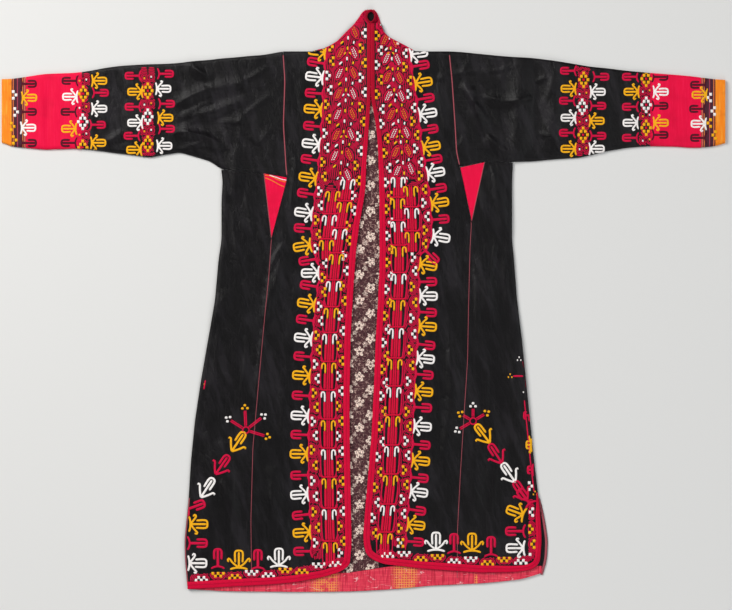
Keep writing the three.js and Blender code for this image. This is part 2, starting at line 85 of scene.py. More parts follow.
SIDES = {
    "right": {
        "sign": -1,
        "front": table("y x", [
            [565, 13.6], [396, 13.6], [376, 13], [330, 10], [282, 6.5], [218, 4], [154, -7.5], [104, -14],
            [14, -20.5], [-66, -25], [-192, -27.5], [-296, -27], [-394, -25], [-490, -23.5], [-520, -23.5]]),
        "seam": table("y x", [
            [498, -161], [440, -157], [352, -160], [254, -154], [246, -151.5], [124, -184], [50, -189],
            [-40, -198], [-160, -209], [-294, -221], [-440, -225], [-585, -223]]),
        "outline": table("y x", [
            [262, -285], [240, -281.5], [200, -284], [120, -284], [80, -290], [0, -297], [-80, -311],
            [-160, -325], [-240, -337], [-320, -345], [-400, -350], [-480, -358], [-520, -357], [-585, -351]]),
        "hem": table("x y", [
            [-360, -578], [-303, -575], [-247, -571.5], [-187, -568.5], [-135, -563.5], [-80, -553.5],
            [-52, -545], [-37, -537.5], [-28, -529], [-23.5, -519.5]]),
        "sleeve": table("x top bottom", [
            [-161, 497.65, 246], [-199, 490.5, 254], [-227, 488.5, 256.5], [-257, 485.5, 260],
            [-285, 483.5, 262], [-307, 480.5, 277.5], [-337, 478.5, 286.5], [-367, 474.5, 295],
            [-397, 472.5, 290.5], [-427, 472, 284.5], [-457, 470.5, 289], [-487, 468.5, 292.5],
            [-517, 464.5, 296.5], [-547, 458.5, 300.5], [-577, 454.5, 302.5], [-637, 452.5, 300.5],
            [-675, 446.5, 304], [-703, 442.5, 307], [-723, 442, 315]]),
        "underarm": table("x y", [[-151.5, 246], [-199, 254], [-285, 262]]),
        "back": None,
        "gusset_corner": (-199, 254), "gusset_tip": (-184, 124),
        "armpit": -285, "forearm": -563, "cuff": -675,
    },
    "left": {
        "sign": 1,
        "front": table("y x", [
            [565, 15.4], [396, 15.8], [370, 21], [330, 27], [282, 29.5], [218, 31], [142, 31.5], [66, 31.5],
            [-12, 28], [-66, 24.5], [-168, 20.5], [-270, 15.5], [-394, 5], [-466, -1], [-492, 0.5]]),
        "seam": table("y x", [
            [498, 171], [440, 177], [352, 183], [296, 186], [266, 193], [158, 216], [106, 213], [-12, 210],
            [-120, 208], [-244, 200], [-358, 193], [-458, 188], [-585, 187]]),
        "outline": table("y x", [
            [276, 299], [240, 297], [120, 297], [80, 301], [0, 307], [-80, 317], [-160, 325], [-240, 333],
            [-320, 341], [-388, 349], [-412, 353], [-478, 357], [-521, 354], [-560, 352]]),
        "hem": table("x y", [
            [0.5, -492], [3.5, -505], [11, -513.5], [24, -521.5], [41, -527.5], [107, -535.5], [161, -539.5],
            [233, -544.5], [299, -543.5], [325, -541], [340, -536], [349, -529], [357, -519]]),
        "sleeve": table("x top bottom", [
            [171, 497.65, 266], [193, 496.5, 267], [243, 491.5, 276.5], [273, 488.5, 276], [299, 486.5, 276],
            [337, 484.5, 277], [385, 478.5, 281.5], [433, 470.5, 284.5], [457, 466.5, 290],
            [481, 464.5, 296.5], [529, 458.5, 304.5], [553, 456.5, 306.5], [573, 454.5, 307.5],
            [625, 450.5, 306.5], [649, 448.5, 304.5], [673, 445.5, 304.5], [705, 441.5, 308],
            [723, 440.5, 314]]),
        "underarm": table("x y", [[193, 266], [242, 276.5], [299, 276]]),
        "back": table("y x", [[-388, 351], [-412, 357], [-440, 363], [-480, 369], [-520, 367], [-550, 358]]),
        "gusset_corner": (242, 276.5), "gusset_tip": (216, 158),
        "armpit": 299, "forearm": 573, "cuff": 675,
    },
}
BACK_HEM = table("x y", [
    [-360, -577.5], [-307, -580], [-277, -582], [-127, -583.5], [-27, -582.5], [53, -578.5], [93, -575],
    [133, -571], [233, -566.5], [273, -563], [313, -558.5], [337, -552], [361, -544], [372, -538]])
COLLAR = table("y right left", [
    [498, -103, 104], [503, -80, 94], [509, -67, 84], [517, -54, 68], [526, -45, 51], [536, -35.5, 41.5],
    [547, -24, 37], [553.6, -18, 34.7], [566, -9, 31], [574, -4, 27.5], [580, 3, 22]])

# Large folds, as the cut pieces have them: ridges, and troughs with a negative height, all in one table.
FOLDS = [
    # x0, y0, x1, y1, bow, wide, high
    (-383, 388, -227, 436, 8, 14, 4), (-375, 360, -203, 414, -6, 12, 3.2), (-317, 345, -187, 424, 4, 13, -1.6),
    (-385, 338, -283, 302, 10, 13, 4.6), (-353, 474, -299, 442, -4, 12, 2.8), (-492, 464, -495, 300, 0, 17, -1.6),
    (-517, 312, -480, 340, 0, 11, 2.2), (-257, 310, -262, 200, 5, 15, 2.8),
    (199, 436, 243, 330, 7, 13, 4.6), (243, 330, 316, 284, -5, 13, 4.2), (222, 440, 262, 352, -3, 11, -1.6),
    (237, 404, 337, 408, -8, 12, 2.6), (313, 482, 311, 280, 3, 24, 5.6), (343, 474, 341, 288, 0, 14, -2.0),
    (378, 476, 377, 284, 4, 21, 4.4), (507, 456, 503, 304, 0, 17, -1.6),
    (-162, 112, -201, -50, 4, 14, 3), (-317, -70, -271, 20, 3, 17, 2.4), (-283, -280, -255, -470, -4, 20, 3),
    (-188, -330, -170, -480, 3, 17, 2.4), (-322, -190, -330, -360, 0, 16, -1.2),
    (250, 262, 285, 128, 6, 14, 3.2), (238, 110, 258, -60, -3, 18, 2.8), (296, -20, 313, -300, 4, 18, 2.2),
    (233, -300, 221, -460, -3, 20, 2.6), (180, -60, 166, -350, 3, 16, 2.2), (262, -150, 276, -330, 3, 18, -1.2),
]
# Finer creases that the loose silk lies in.
CREASES = [
    # right sleeve
    (-377, 388, -297, 431, 3, 4, 1.5), (-373, 366, -287, 411, -2, 3.5, 1.3), (-372, 352, -300, 372, 4, 4, -1.0),
    (-357, 476, -313, 446, 2, 3.5, 1.1), (-263, 427, -187, 470, -3, 4, 1.3), (-257, 350, -183, 412, 3, 4, 1.4),
    (-257, 280, -247, 390, -5, 4.5, 1.2), (-377, 336, -277, 306, 10, 4, 1.8), (-367, 300, -263, 300, 14, 4, 1.4),
    (-213, 310, -187, 346, -2, 4, 1.1), (-507, 316, -483, 336, 0, 3.5, 1.2), (-342, 300, -312, 322, 2, 3.5, 1.0),
    (-330, 452, -282, 404, -5, 4, -1.0), (-246, 462, -214, 380, 3, 5, -0.8), (-232, 335, -196, 300, 0, 4, 0.9),
    (-365, 455, -370, 300, 4, 5, -0.7), (-296, 356, -222, 352, 3, 4, 0.8), (-545, 452, -541, 306, 2, 5, 0.7),
    # right front between the armhole and the lapel
    (-139, 440, -128, 330, 0, 4, -1.8), (-122, 480, -104, 452, 0, 4, 0.9), (-150, 306, -118, 214, 3, 5, 0.9),
    (-146, 470, -120, 440, 2, 4, 0.8), (-135, 290, -146, 170, 0, 5, 0.8), (-150, 60, -118, -60, 3, 6, 0.7),
    # left sleeve and the front beside it
    (137, 446, 171, 451, -4, 3.5, 1.3), (171, 451, 237, 456, 3, 3.5, 1.5), (237, 456, 307, 470, -3, 3.5, 1.2),
    (221, 426, 216, 414, 0, 6, 1.4), (197, 436, 237, 336, 6, 4, 1.9), (237, 336, 267, 306, 3, 4, 1.7),
    (267, 306, 297, 286, 2, 4, 1.3), (217, 400, 257, 340, 3, 3.5, 1.4), (257, 340, 297, 300, 2, 3.5, 1.2),
    (231, 406, 277, 398, 3, 3.5, 1.3), (277, 398, 347, 408, -3, 3.5, 1.2), (341, 436, 367, 446, 0, 4, 1.2),
    (301, 436, 299, 300, 4, 5, 1.0), (326, 460, 318, 320, -3, 4, -0.9), (247, 396, 317, 300, -5, 4, 1.3),
    (341, 336, 377, 320, 3, 4, 1.1), (247, 290, 267, 220, 3, 4, 1.3), (261, 280, 285, 222, 2, 4, 1.2),
    (385, 470, 352, 380, 5, 4, 0.9), (352, 380, 402, 296, -5, 4, 0.9), (446, 300, 424, 350, 2, 4, -0.8),
    (283, 480, 268, 432, 3, 4, 0.9), (208, 478, 190, 444, 2, 4, 0.9), (540, 452, 543, 312, -2, 5, 0.7),
    (146, 420, 164, 330, 3, 5, 0.9), (152, 470, 136, 400, 0, 5, -0.9), (205, 330, 180, 300, 2, 4, 0.8),
    # body, right side
    (-157, 116, -188, 52, -5, 5, 1.5), (-188, 52, -199, -42, 3, 5, 1.3), (-199, -42, -217, -200, 0, 5, 1.0),
    (-237, 210, -222, 120, 3, 4.5, 1.0), (-262, 180, -242, 60, -4, 6, 0.8), (-287, -360, -247, -460, 6, 6, 1.2),
    (-187, -360, -187, -440, 4, 6, 1.0), (-262, -330, -268, -470, 3, 5, 0.9), (-307, -300, -290, -420, 3, 6, 0.8),
    (-232, -60, -250, -210, 4, 7, 0.7), (-282, -20, -298, -170, -3, 6, 0.6), (-165, -150, -158, -320, 0, 6, 0.6),
    (-212, -230, -226, -330, 3, 5, 0.7), (-238, -440, -226, -540, 2, 5, 0.8), (-150, -400, -160, -500, 2, 5, 0.6),
    # body, left side
    (263, 130, 247, 30, 4, 5, 0.9), (282, 96, 292, -20, -3, 6, 0.8), (222, 70, 226, -80, 3, 5, 0.9),
    (167, -30, 172, -160, 3, 6, 0.8), (166, -220, 160, -330, 0, 6, 0.8), (186, 120, 190, 10, 0, 5, 0.6),
    (245, -120, 240, -230, 3, 5, 0.7), (300, -140, 308, -260, 2, 6, 0.6), (208, -150, 204, -280, 0, 5, 0.7),
    (262, -330, 254, -430, 3, 5, 0.8), (152, -400, 146, -470, 2, 5, 0.6), (232, 220, 244, 180, 2, 4, 0.8),
    # forearms
    (-590, 450, -594, 310, 4, 7, 0.6), (-622, 448, -630, 306, -5, 8, -0.7), (-648, 440, -644, 312, 3, 6, 0.5),
    (596, 448, 590, 312, 3, 7, 0.6), (628, 446, 634, 310, -4, 8, -0.6), (655, 440, 652, 312, 3, 6, 0.5),
]


# How high and how narrow both kinds are next to what their tables say, and the other shares in the cloth's height.
FOLD_RISE, FOLD_NARROW, CREASE_RISE, CREASE_NARROW = 1.3, 0.85, 1.9, 0.72
COLLAR_RISE, CRUMPLE, PUCKER = 5, 1.5, 0.22


# ---- Curves and heights ----
def smooth(value, start, end):
    """0 before start and 1 past end, with a smooth step between them."""
    t = np.clip((value - start) / (end - start), 0, 1)
    return t * t * (3 - 2 * t)


def read(rows, key, value, at, soften=10.0):
    """One column of a table as a function of another: straight between rows, with the corners rounded off."""
    order = np.argsort(rows[key])
    at = np.asarray(at, float)
    shifts = (-1.0, -0.5, 0.0, 0.5, 1.0)
    return sum(np.interp(at + s * soften, rows[key][order], rows[value][order]) for s in shifts) / len(shifts)


def edge_of(part, at, value, soften=10.0):
    """A function that reads one table of a side's cut."""
    return lambda key, where: read(SIDES[key][part], at, value, where, soften)


front_x, seam_x, outline_x = (edge_of(part, "y", "x") for part in ("front", "seam", "outline"))
hem_y = edge_of("hem", "x", "y", 3.0)
sleeve_top, sleeve_bottom = edge_of("sleeve", "x", "top"), edge_of("sleeve", "x", "bottom", 6.0)


def back_hem(x):
    return read(BACK_HEM, "x", "y", x)


def collar_x(key, y):
    return np.interp(y, COLLAR["y"], COLLAR[key])


def ridges(folds, x, y, narrow):
    """The height that soft ridges along bowed lines, tapered at their ends, add at each point."""
    total = np.zeros(np.broadcast(x, y).shape)
    for x0, y0, x1, y1, bow, wide, high in folds:
        dx, dy = x1 - x0, y1 - y0
        long = math.hypot(dx, dy)
        along = np.clip(((x - x0) * dx + (y - y0) * dy) / long**2, 0, 1)
        across = ((y - y0) * dx - (x - x0) * dy) / long - bow * 4 * along * (1 - along)
        total += high * np.sin(np.pi * along) ** 0.7 * np.exp(-((across / (wide * narrow)) ** 2))
    return total


def pucker(x, y):
    """Small ripples that the stitching draws up beside the body seams."""
    total = np.zeros(np.broadcast(x, y).shape)
    for key in SIDES:
        away = x - seam_x(key, y)
        beat = np.sin(y / 3.1 + 2 * np.sin(y / 37)) + 0.6 * np.sin(y / 5.3 + 1)
        total += PUCKER * beat * np.exp(-((away / 9) ** 2)) * (y > NEAR_HEM)
    return total


def crumple(x, y):
    """A faint unevenness all over, in no direction in particular."""
    return (
        0.16 * np.sin(x / 7.1 + 1.7 * np.sin(y / 31)) * np.sin(y / 19 + 1.3 * np.sin(x / 43))
        + 0.13 * np.sin((x + 0.6 * y) / 9.7 + 0.9) * np.sin((y - 0.4 * x) / 14.3)
        + 0.20 * np.sin(x / 15.3 + 0.4 + 1.1 * np.sin(y / 90)) * np.sin(y / 57 + 2)
    )


def loft(x, y):
    """Height of the upper layer's outer face over the table."""
    x, y = np.asarray(x, float), np.asarray(y, float)
    height = LOFT + FOLD_RISE * ridges(FOLDS, x, y, FOLD_NARROW)
    height = height + 0.45 * np.sin(x / 83 + 0.8) * np.sin(y / 119 - 0.4) + 0.3 * np.sin((x + y) / 61)
    # The collar stands up round the top of the opening.
    height = height + COLLAR_RISE * np.exp(-(((x - CENTRE) / 24) ** 2)) * smooth(y, 330, 480)
    height = height + CREASE_RISE * ridges(CREASES, x, y, CREASE_NARROW)
    return np.maximum(height + pucker(x, y) + CRUMPLE * crumple(x, y), LEAST_LOFT)


def lapel_rise(x, y):
    """How much the close stitching thickens the cloth beside each opening."""
    rise = np.zeros(np.broadcast(x, y).shape)
    for key, side in SIDES.items():
        into = side["sign"] * (x - front_x(key, y))
        near = smooth(into, -1, 3) * (1 - smooth(into, LAPEL_WIDE - 4, LAPEL_WIDE + 4))
        rise = np.maximum(rise, near * (into > -6))
    return LAPEL_RISE * np.where(y < COLLAR_FOOT + 0.5, rise, 1.0)


def edge_depth(x, y):
    """How far inside the nearest folded edge a point of the upper layer lies."""
    x, y = np.asarray(x, float), np.asarray(y, float)
    depth = np.full(np.broadcast(x, y).shape, 1e3)
    for key, side in SIDES.items():
        sign = side["sign"]
        out = sign * x
        armhole = sign * seam_x(key, y)
        for there, to_edge in (
                ((out > armhole) & (y > SLEEVES_FOOT), sleeve_top(key, x) - y),
                ((out > sign * side["armpit"]) & (y > SLEEVES_FOOT), y - sleeve_bottom(key, x)),
                ((out > 0) & (y < SIDES_TOP), sign * outline_x(key, y) - out),
                ((out > 0) & (out <= armhole) & (np.abs(x - CENTRE) > COLLAR_HALF), SHOULDER_TOP - y)):
            depth = np.where(there, np.minimum(depth, to_edge), depth)
    in_collar = np.minimum(collar_x("left", y) - x, x - collar_x("right", y))
    return np.where(y > COLLAR_FOOT, in_collar, depth)


def surface(x, y):
    """Height of the garment's upper face, which turns down at its folded edges."""
    top = loft(x, y) + lapel_rise(x, y)
    depth = np.clip(edge_depth(x, y), 0.0, FOLD)
    turn = np.sqrt(np.clip(1 - (1 - depth / FOLD) ** 2, 0, 1))
    middle = 0.5 * top
    # Behind the eye and beside the slit, only the lower layer is there.
    lower = (y > HOOD_TOP) | ((y < SLIT_TOP) & (x > outline_x("left", y) + 1))
    return np.where(lower, WALL, middle + (top - middle) * turn)


# ---- Meshes ----
def finish(name, points, faces, material, uv=None):
    """A mesh object in metres from points in millimetres, smooth, at the origin."""
    mesh = bpy.data.meshes.new(name)
    mesh.from_pydata((np.asarray(points) * MM).tolist(), [], faces)
    mesh.validate()
    if uv is not None:
        layer = mesh.uv_layers.new(name="Run")
        corners = np.zeros(len(mesh.loops), np.int32)
        mesh.loops.foreach_get("vertex_index", corners)
        layer.data.foreach_set("uv", np.asarray(uv, np.float32)[corners].ravel())
    mesh.materials.append(material)
    mesh.shade_smooth()
    piece = bpy.data.objects.new(name, mesh)
    bpy.context.scene.collection.objects.link(piece)
    return piece


def edit(piece, operator, **options):
    """Uses one operator on the whole of a piece in edit mode."""
    bpy.ops.object.select_all(action="DESELECT")
    piece.select_set(True)
    bpy.context.view_layer.objects.active = piece
    bpy.ops.object.mode_set(mode="EDIT")
    bpy.ops.mesh.select_all(action="SELECT")
    operator(**options)
    bpy.ops.object.mode_set(mode="OBJECT")


def turn_outwards(piece):
    """Points every face of a piece outwards, and keeps its sharp edges sharp."""
    edit(piece, bpy.ops.mesh.normals_make_consistent, inside=False)
    bpy.ops.object.shade_smooth_by_angle(angle=math.radians(50))


def cloth(name, out, inn, material, has=None, uv=None):
    """A closed wall of cloth between two grids of points. `has` marks the cells that are there."""
    out, inn = np.asarray(out, float), np.asarray(inn, float)
    tall, wide = out.shape[:2]
    has = np.ones((tall - 1, wide - 1), bool) if has is None else has
    index = np.arange(tall * wide).reshape(tall, wide)
    below = index + tall * wide
    first, last = slice(None, -1), slice(1, None)
    corners = (first, first), (first, last), (last, last), (last, first)
    upper = np.stack([index[c][has] for c in corners], 1)
    lower = np.stack([below[c][has] for c in reversed(corners)], 1)
    faces = upper.tolist() + lower.tolist()
    padded = np.pad(has, 1)
    for (di, dj), (p, q) in {(-1, 0): (0, 1), (0, 1): (1, 2), (1, 0): (2, 3), (0, -1): (3, 0)}.items():
        neighbour = padded[1 + di:tall + di, 1 + dj:wide + dj]
        bare = has & ~neighbour
        a, b = index[corners[p]][bare], index[corners[q]][bare]
        faces += np.stack([b, a, a + tall * wide, b + tall * wide], 1).tolist()
    points = np.concatenate([out.reshape(-1, 3), inn.reshape(-1, 3)])
    piece = finish(name, points, faces, material, None if uv is None else np.concatenate([uv.reshape(-1, 2)] * 2))
    bpy.context.view_layer.update()
    if not has.all():
        edit(piece, bpy.ops.mesh.delete_loose)
    turn_outwards(piece)
    return piece


def place(piece, nodes=()):
    """Fixes a piece to the garment's one body and hides the parts of the model that it takes the place of."""
    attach(piece, "root")
    if nodes:
        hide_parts(*nodes)
    return piece


def stacked(*parts):
    """Points from their parts, each a number or an array."""
    return np.stack(np.broadcast_arrays(*parts), -1)


def lerp(a, b, t):
    """From a to b, by a share t."""
    return a + (b - a) * t


# ---- Body panels ----
# The length of a sleeve's cells, and the turns of an edge, in degrees: a quarter from the table up, and all round.
CELL = 4.5
CURL, TURNS = np.arange(0, 90, 15), np.arange(75, -91, -15)[None, :]


def curl_in(turn, thick=0.0):
    """How far in from a folded edge its outer face lies at each turn, or its inner one."""
    return FOLD - (FOLD - thick) * np.cos(np.radians(turn))


def turned_height(high, thick=0.0):
    """The height of a folded edge at each of its turns, from the upper layer round to the lower one."""
    return high / 2 + (high / 2 - thick) * np.sin(np.radians(TURNS))


def y_at(rows, x):
    """A table of x and y as straight lines between its rows."""
    order = np.argsort(rows["x"])
    return np.interp(x, rows["x"][order], rows["y"][order])


def front(key, material):
    """One front panel, from the shoulder fold down to the hem."""
    side = SIDES[key]
    sign = side["sign"]
    inner_edge = lambda y: front_x(key, y) + sign * SEAM
    outer_edge = lambda y: seam_x(key, y) - sign * SEAM
    t = np.linspace(0, 1, 50)
    hem = np.full(len(t), float(NEAR_HEM))
    # The side edges depend on how far down the hem is, so a few rounds settle it.
    for _ in range(8):
        hem = hem_y(key, lerp(inner_edge(hem), outer_edge(hem), t))
    down = np.linspace(0, 1, 240)[:, None]
    curl = CURL[:, None]
    y = np.concatenate([SHOULDER_TOP - curl_in(curl) + 0 * t, lerp(SHOULDER_TOP - FOLD, hem[None, :], down)])
    y_under = np.concatenate([SHOULDER_TOP - curl_in(curl, WALL) + 0 * t, y[len(CURL):]])
    x = lerp(inner_edge(y), outer_edge(y), t[None, :])
    top = loft(x, y) + lapel_rise(x, y)
    under = loft(x, y) - WALL
    # The shoulder is folded beside the collar, and lies flat under it.
    bend = np.s_[:CURL.size]
    at_fold = loft(x[bend], SHOULDER_TOP - FOLD)
    folded = smooth(np.abs(x[bend] - CENTRE), COLLAR_HALF, COLLAR_HALF + 10)
    for face, deep in ((top, 0.0), (under, WALL)):
        face[bend] = lerp(face[bend], REST + (at_fold - REST - deep) * np.sin(np.radians(curl)), folded)
    y_under[bend] = lerp(y[bend], y_under[bend], folded)
    piece = cloth(f"front_silk_{key}", stacked(x, y, top), stacked(x, y_under, under), material)
    return place(
        piece, [f"front_{key}"])


def gusset(key, material):
    """The small red wedge set under the arm."""
    side = SIDES[key]
    (corner_x, corner_y), (tip_x, tip_y) = side["gusset_corner"], side["gusset_tip"]
    top_y = y_at(side["underarm"], seam_x(key, side["sleeve"]["bottom"][0]))
    down, across = np.linspace(0.005, 0.985, 36)[:, None], np.linspace(0, 1, 14)[None, :]
    inner_y = lerp(top_y, tip_y, down)
    inset = SEAM * 1.6 * side["sign"]
    x = lerp(lerp(corner_x, tip_x, down) - inset, seam_x(key, inner_y) + inset, across)
    y = lerp(lerp(corner_y, tip_y, down), inner_y, across) - SEAM
    z = loft(x, y)
    piece = cloth(f"wedge_{key}", stacked(x, y, z), stacked(x, y, z - WALL), material)
    return place(piece, [f"gusset_{key}"])


def side_panel(key, material):
    """A side panel, folded back on itself at the garment's outline. The left one is slit below the hip."""
    side = SIDES[key]
    sign = side["sign"]
    (corner_x, corner_y), (tip_x, tip_y) = side["gusset_corner"], side["gusset_tip"]
    foot = hem_y(key, seam_x(key, -550))
    back = side["back"]

    def inner_x(y):
        slope = lerp(tip_x, corner_x, (y - tip_y) / (corner_y - tip_y))
        return np.where(y > tip_y, slope, seam_x(key, y)) + sign * SEAM

    def opened(y):
        return smooth(-y, -SLIT_TOP - 4, -SLIT_TOP + 10) if back else np.zeros(np.shape(y))

    def fold_x(y):
        return outline_x(key, y) - sign * FOLD * (1 - opened(y))

    def lower_x(y):
        return lerp(outline_x(key, y) - sign * FOLD, read(back or side["outline"], "y", "x", y), opened(y))

    upper, lower = np.linspace(0, 1, 34), np.linspace(0, 1, 12)
    down = np.linspace(0, 1, 200)[:, None]

    def rows(plan, t, hem, seam):
        high, low = y_at(side["underarm"], plan(corner_y, t)) - seam, hem(plan(foot, t))
        y = lerp(high[None, :], low[None, :], down)
        return plan(y, t[None, :]), y

    plan_upper = lambda y, t: lerp(inner_x(y), fold_x(y), t)
    plan_lower = lambda y, t: lerp(lower_x(y), seam_x(key, y) + sign * BACK_SEAM, t)
    x_up, y_up = rows(plan_upper, upper, lambda x: hem_y(key, x), SEAM)
    x_low, y_low = rows(plan_lower, lower, back_hem, BACK_SEAM)
    y_fold = lerp(y_up[:, -1:], y_low[:, :1], np.linspace(0, 1, TURNS.size)[None, :])
    edge = outline_x(key, y_fold)
    high = loft(edge - sign * FOLD, y_fold)
    sag = opened(y_up) * smooth(upper[None, :], 0.7, 1.0) * 0.8
    z_up = loft(x_up, y_up) - sag
    out, inn = (np.concatenate([
        stacked(x_up, y_up, z_up - thick),
        stacked(edge - sign * curl_in(TURNS, thick), y_fold, turned_height(high, thick)),
        stacked(x_low[:, 1:], y_low[:, 1:], thick)], 1) for thick in (0.0, WALL))
    has = np.ones((out.shape[0] - 1, out.shape[1] - 1), bool)
    if back:
        slit = y_up[1:, -1] < SLIT_TOP
        first, joint = len(upper) - 1, len(upper) - 1 + TURNS.size
        has[np.ix_(slit, np.arange(first, joint))] = False
        # Below the slit the lower layer starts at its own edge instead of at the fold.
        below = np.concatenate([[False], slit])
        for face, z in ((out, 0.0), (inn, WALL)):
            face[below, joint] = stacked(x_low[below, 0], y_low[below, 0], z)
    piece = cloth(f"side_silk_{key}", out, inn, material, has)
    return place(piece, [f"side_{key}"])


def back_panel(material):
    """The back, flat under everything else."""
    t = np.linspace(0, 1, 60)
    edges = lambda y: (seam_x("right", y) + SEAM, seam_x("left", y) - SEAM)
    hem = back_hem(lerp(*edges(-575.0), t))
    down = np.linspace(0, 1, 150)[:, None]
    y = lerp(SHOULDER_TOP - SEAM + 0 * t[None, :], hem[None, :], down)
    x = lerp(*edges(y), t[None, :])
    z = 0 * x
    piece = cloth("back_silk", stacked(x, y, z), stacked(x, y, z + WALL), material)
    return place(piece, ["back_panel"])


# ---- Sleeves ----
def sleeve_part(name, key, start, end, material, node, thick=WALL):
    """A length of sleeve: a sheet folded along its upper edge and seamed along its lower one."""
    side = SIDES[key]
    sign = side["sign"]
    base = side["sleeve"]["x"][0]
    station = np.linspace(start, end, max(2, math.ceil(abs(end - start) / CELL) + 1))[:, None]
    to_seam = 1 - smooth(np.abs(station - base), 0, 70)

    def x_at(y, extra=0.0):
        return station + (seam_x(key, y) - base + sign * extra) * to_seam

    top = np.minimum(sleeve_top(key, station), SHOULDER_TOP)
    bottom = sleeve_bottom(key, x_at(side["sleeve"]["bottom"][0])) + SEAM
    beyond = smooth(sign * station, sign * side["armpit"] - 14, sign * side["armpit"] + 6)
    curl = CURL[None, :]

    flat_y = bottom + curl_in(curl)
    at_fold = loft(x_at(bottom + FOLD), bottom + FOLD)
    z_flat = loft(x_at(flat_y), flat_y)
    rise = np.sin(np.radians(curl))
    y_up = lerp(bottom + FOLD, top - FOLD, np.linspace(0, 1, 46)[None, :])
    z_up = loft(x_at(y_up), y_up)
    high = loft(x_at(top - FOLD), top - FOLD)
    y_low = lerp(top - FOLD, bottom, np.linspace(0, 1, 10)[None, 1:])

    def face(deep):
        """The sheet from its lower edge up, over the fold and back down, that far inside its outer face."""
        y_curl = lerp(flat_y, bottom + curl_in(curl, deep), beyond)
        z_curl = lerp(z_flat - deep, REST + (at_fold - REST - deep) * rise, beyond)
        return np.concatenate([
            stacked(x_at(flat_y), y_curl, z_curl), stacked(x_at(y_up), y_up, z_up - deep),
            stacked(x_at(top - curl_in(TURNS)), top - curl_in(TURNS, deep), turned_height(high, deep)),
            stacked(x_at(y_low, BACK_SEAM), y_low, deep)], 1)

    out, inn = face(0.0), face(thick)
    piece = cloth(name, out, inn, material)
    return place(piece, [node])


# ---- Collar ----
def collar(material):
    """The stand of the collar: a sheet folded over, whose two halves part below the eye at its tip."""
    y = np.linspace(COLLAR_FOOT, COLLAR_TOP, 42)[:, None]
    right, left = collar_x("right", y), collar_x("left", y)
    half_count, under_count = 24, 12

    def half(edge, sign):
        start = CENTRE + sign * 0.9
        room = edge - sign * FOLD
        x = lerp(start, room, np.linspace(0, 1, half_count)[None, :])
        top = loft(x, y)
        return stacked(x, y, top + lapel_rise(x, y) * (sign * (room - x) > 2)), stacked(x, y, top - WALL)

    def fold(edge, sign):
        high = loft(edge - sign * FOLD, y)
        return [stacked(edge - sign * curl_in(TURNS, deep), y, turned_height(high, deep)) for deep in (0.0, WALL)]

    inset = np.where(y > HOOD_TOP, 0.8, FOLD)
    x_under = lerp(right + inset, left - inset, np.linspace(0, 1, under_count)[None, 1:-1])
    parts = [
        half(right, -1), fold(right, -1), (stacked(x_under, y, 0.0), stacked(x_under, y, WALL)),
        [face[:, ::-1] for face in fold(left, 1)], [face[:, ::-1] for face in half(left, 1)]]
    out, inn = (np.concatenate([part[i] for part in parts], 1) for i in (0, 1))
    arms = half_count + TURNS.size - 1
    has = np.ones((out.shape[0] - 1, out.shape[1] - 1), bool)
    open_rows = y[1:, 0] > HOOD_TOP
    has[np.ix_(open_rows, np.r_[0:arms, has.shape[1] - arms:has.shape[1]])] = False
    piece = cloth("collar_silk", out, inn, material, has)
    return place(piece, ["collar"])


def tip_loop(material):
    """The roll of braid round the eye at the tip, which laps over the ends of the two edgings."""
    bpy.ops.object.select_all(action="DESELECT")
    bpy.ops.mesh.primitive_torus_add(
        major_segments=64, minor_segments=18, major_radius=EYE_WIDE * MM, minor_radius=0.0019, location=(0, 0, 0))
    ring = bpy.context.object
    ring.name = ring.data.name = "tip_edging"
    edit(ring, bpy.ops.transform.resize, value=(1.0, 1.4, 1.6), center_override=(0, 0, 0))
    # Towards the neck the ring narrows, like a tear.
    for corner in ring.data.vertices:
        corner.co.x *= 1 - 0.5 * max(-corner.co.y / (EYE_TALL * MM), 0) ** 1.5
    edit(ring, bpy.ops.transform.translate, value=(EYE_X * MM, EYE_Y * MM, (REST + 4.2) * MM))
    ring.data.materials.append(material)
    turn_outwards(ring)
    return place(ring, ["tip_loop"])


# ---- Inside ----
def facing_top(x):
    """The upper edge of the hem facing, which steps up past the middle."""
    return lerp(-545, -531, np.clip((x + 30) / 90, 0, 1))


def lining(material):
    """The printed lining, as far as it can be seen and a hand's breadth under each front."""
    t = np.linspace(0, 1, 34)[None, :]
    down = np.linspace(0, 1, 210)[:, None]
    edges = lambda y: (front_x("right", y) - TUCK, front_x("left", y) + TUCK)
    low = facing_top(lerp(*edges(LINING_FOOT), t)) + 2 * SEAM
    y = lerp(LINING_TOP + 0 * t, low, down)
    x = lerp(*edges(y), t)
    ripple = 0.35 + 0.3 * np.sin(y / 23 + x / 9) + 0.25 * np.sin(y / 11 - x / 17) + 0.15 * np.sin(x / 5 + y / 31)
    z = REST + THIN + np.maximum(ripple, 0)
    piece = cloth("lining_print", stacked(x, y, z), stacked(x, y, z - THIN), material)
    return place(piece, ["lining"])


def hem_facing(material):
    """The cotton facing inside the back hem."""
    x = np.linspace(*FACING_ENDS, 190)[:, None]
    y = lerp(facing_top(x), back_hem(x) + 0.4, np.linspace(0, 1, 12)[None, :])
    z = REST + THIN + np.maximum(0.3 + 0.3 * np.sin(x / 13 + y / 19) + 0.2 * np.sin(x / 5.1 - y / 7), 0)
    piece = cloth("facing_cotton", stacked(x, y, z), stacked(x, y, z - THIN), material)
    return place(piece, ["hem_facing"])


# ---- Edging ----
def resample(line, step):
    """Points at equal distances along a line of points."""
    line = np.asarray(line, float)
    run = np.concatenate([[0], np.cumsum(np.hypot(*np.diff(line, axis=0).T))])
    at = np.linspace(0, run[-1], max(2, int(round(run[-1] / step)) + 1))
    return np.stack([np.interp(at, run, line[:, 0]), np.interp(at, run, line[:, 1])], 1), at


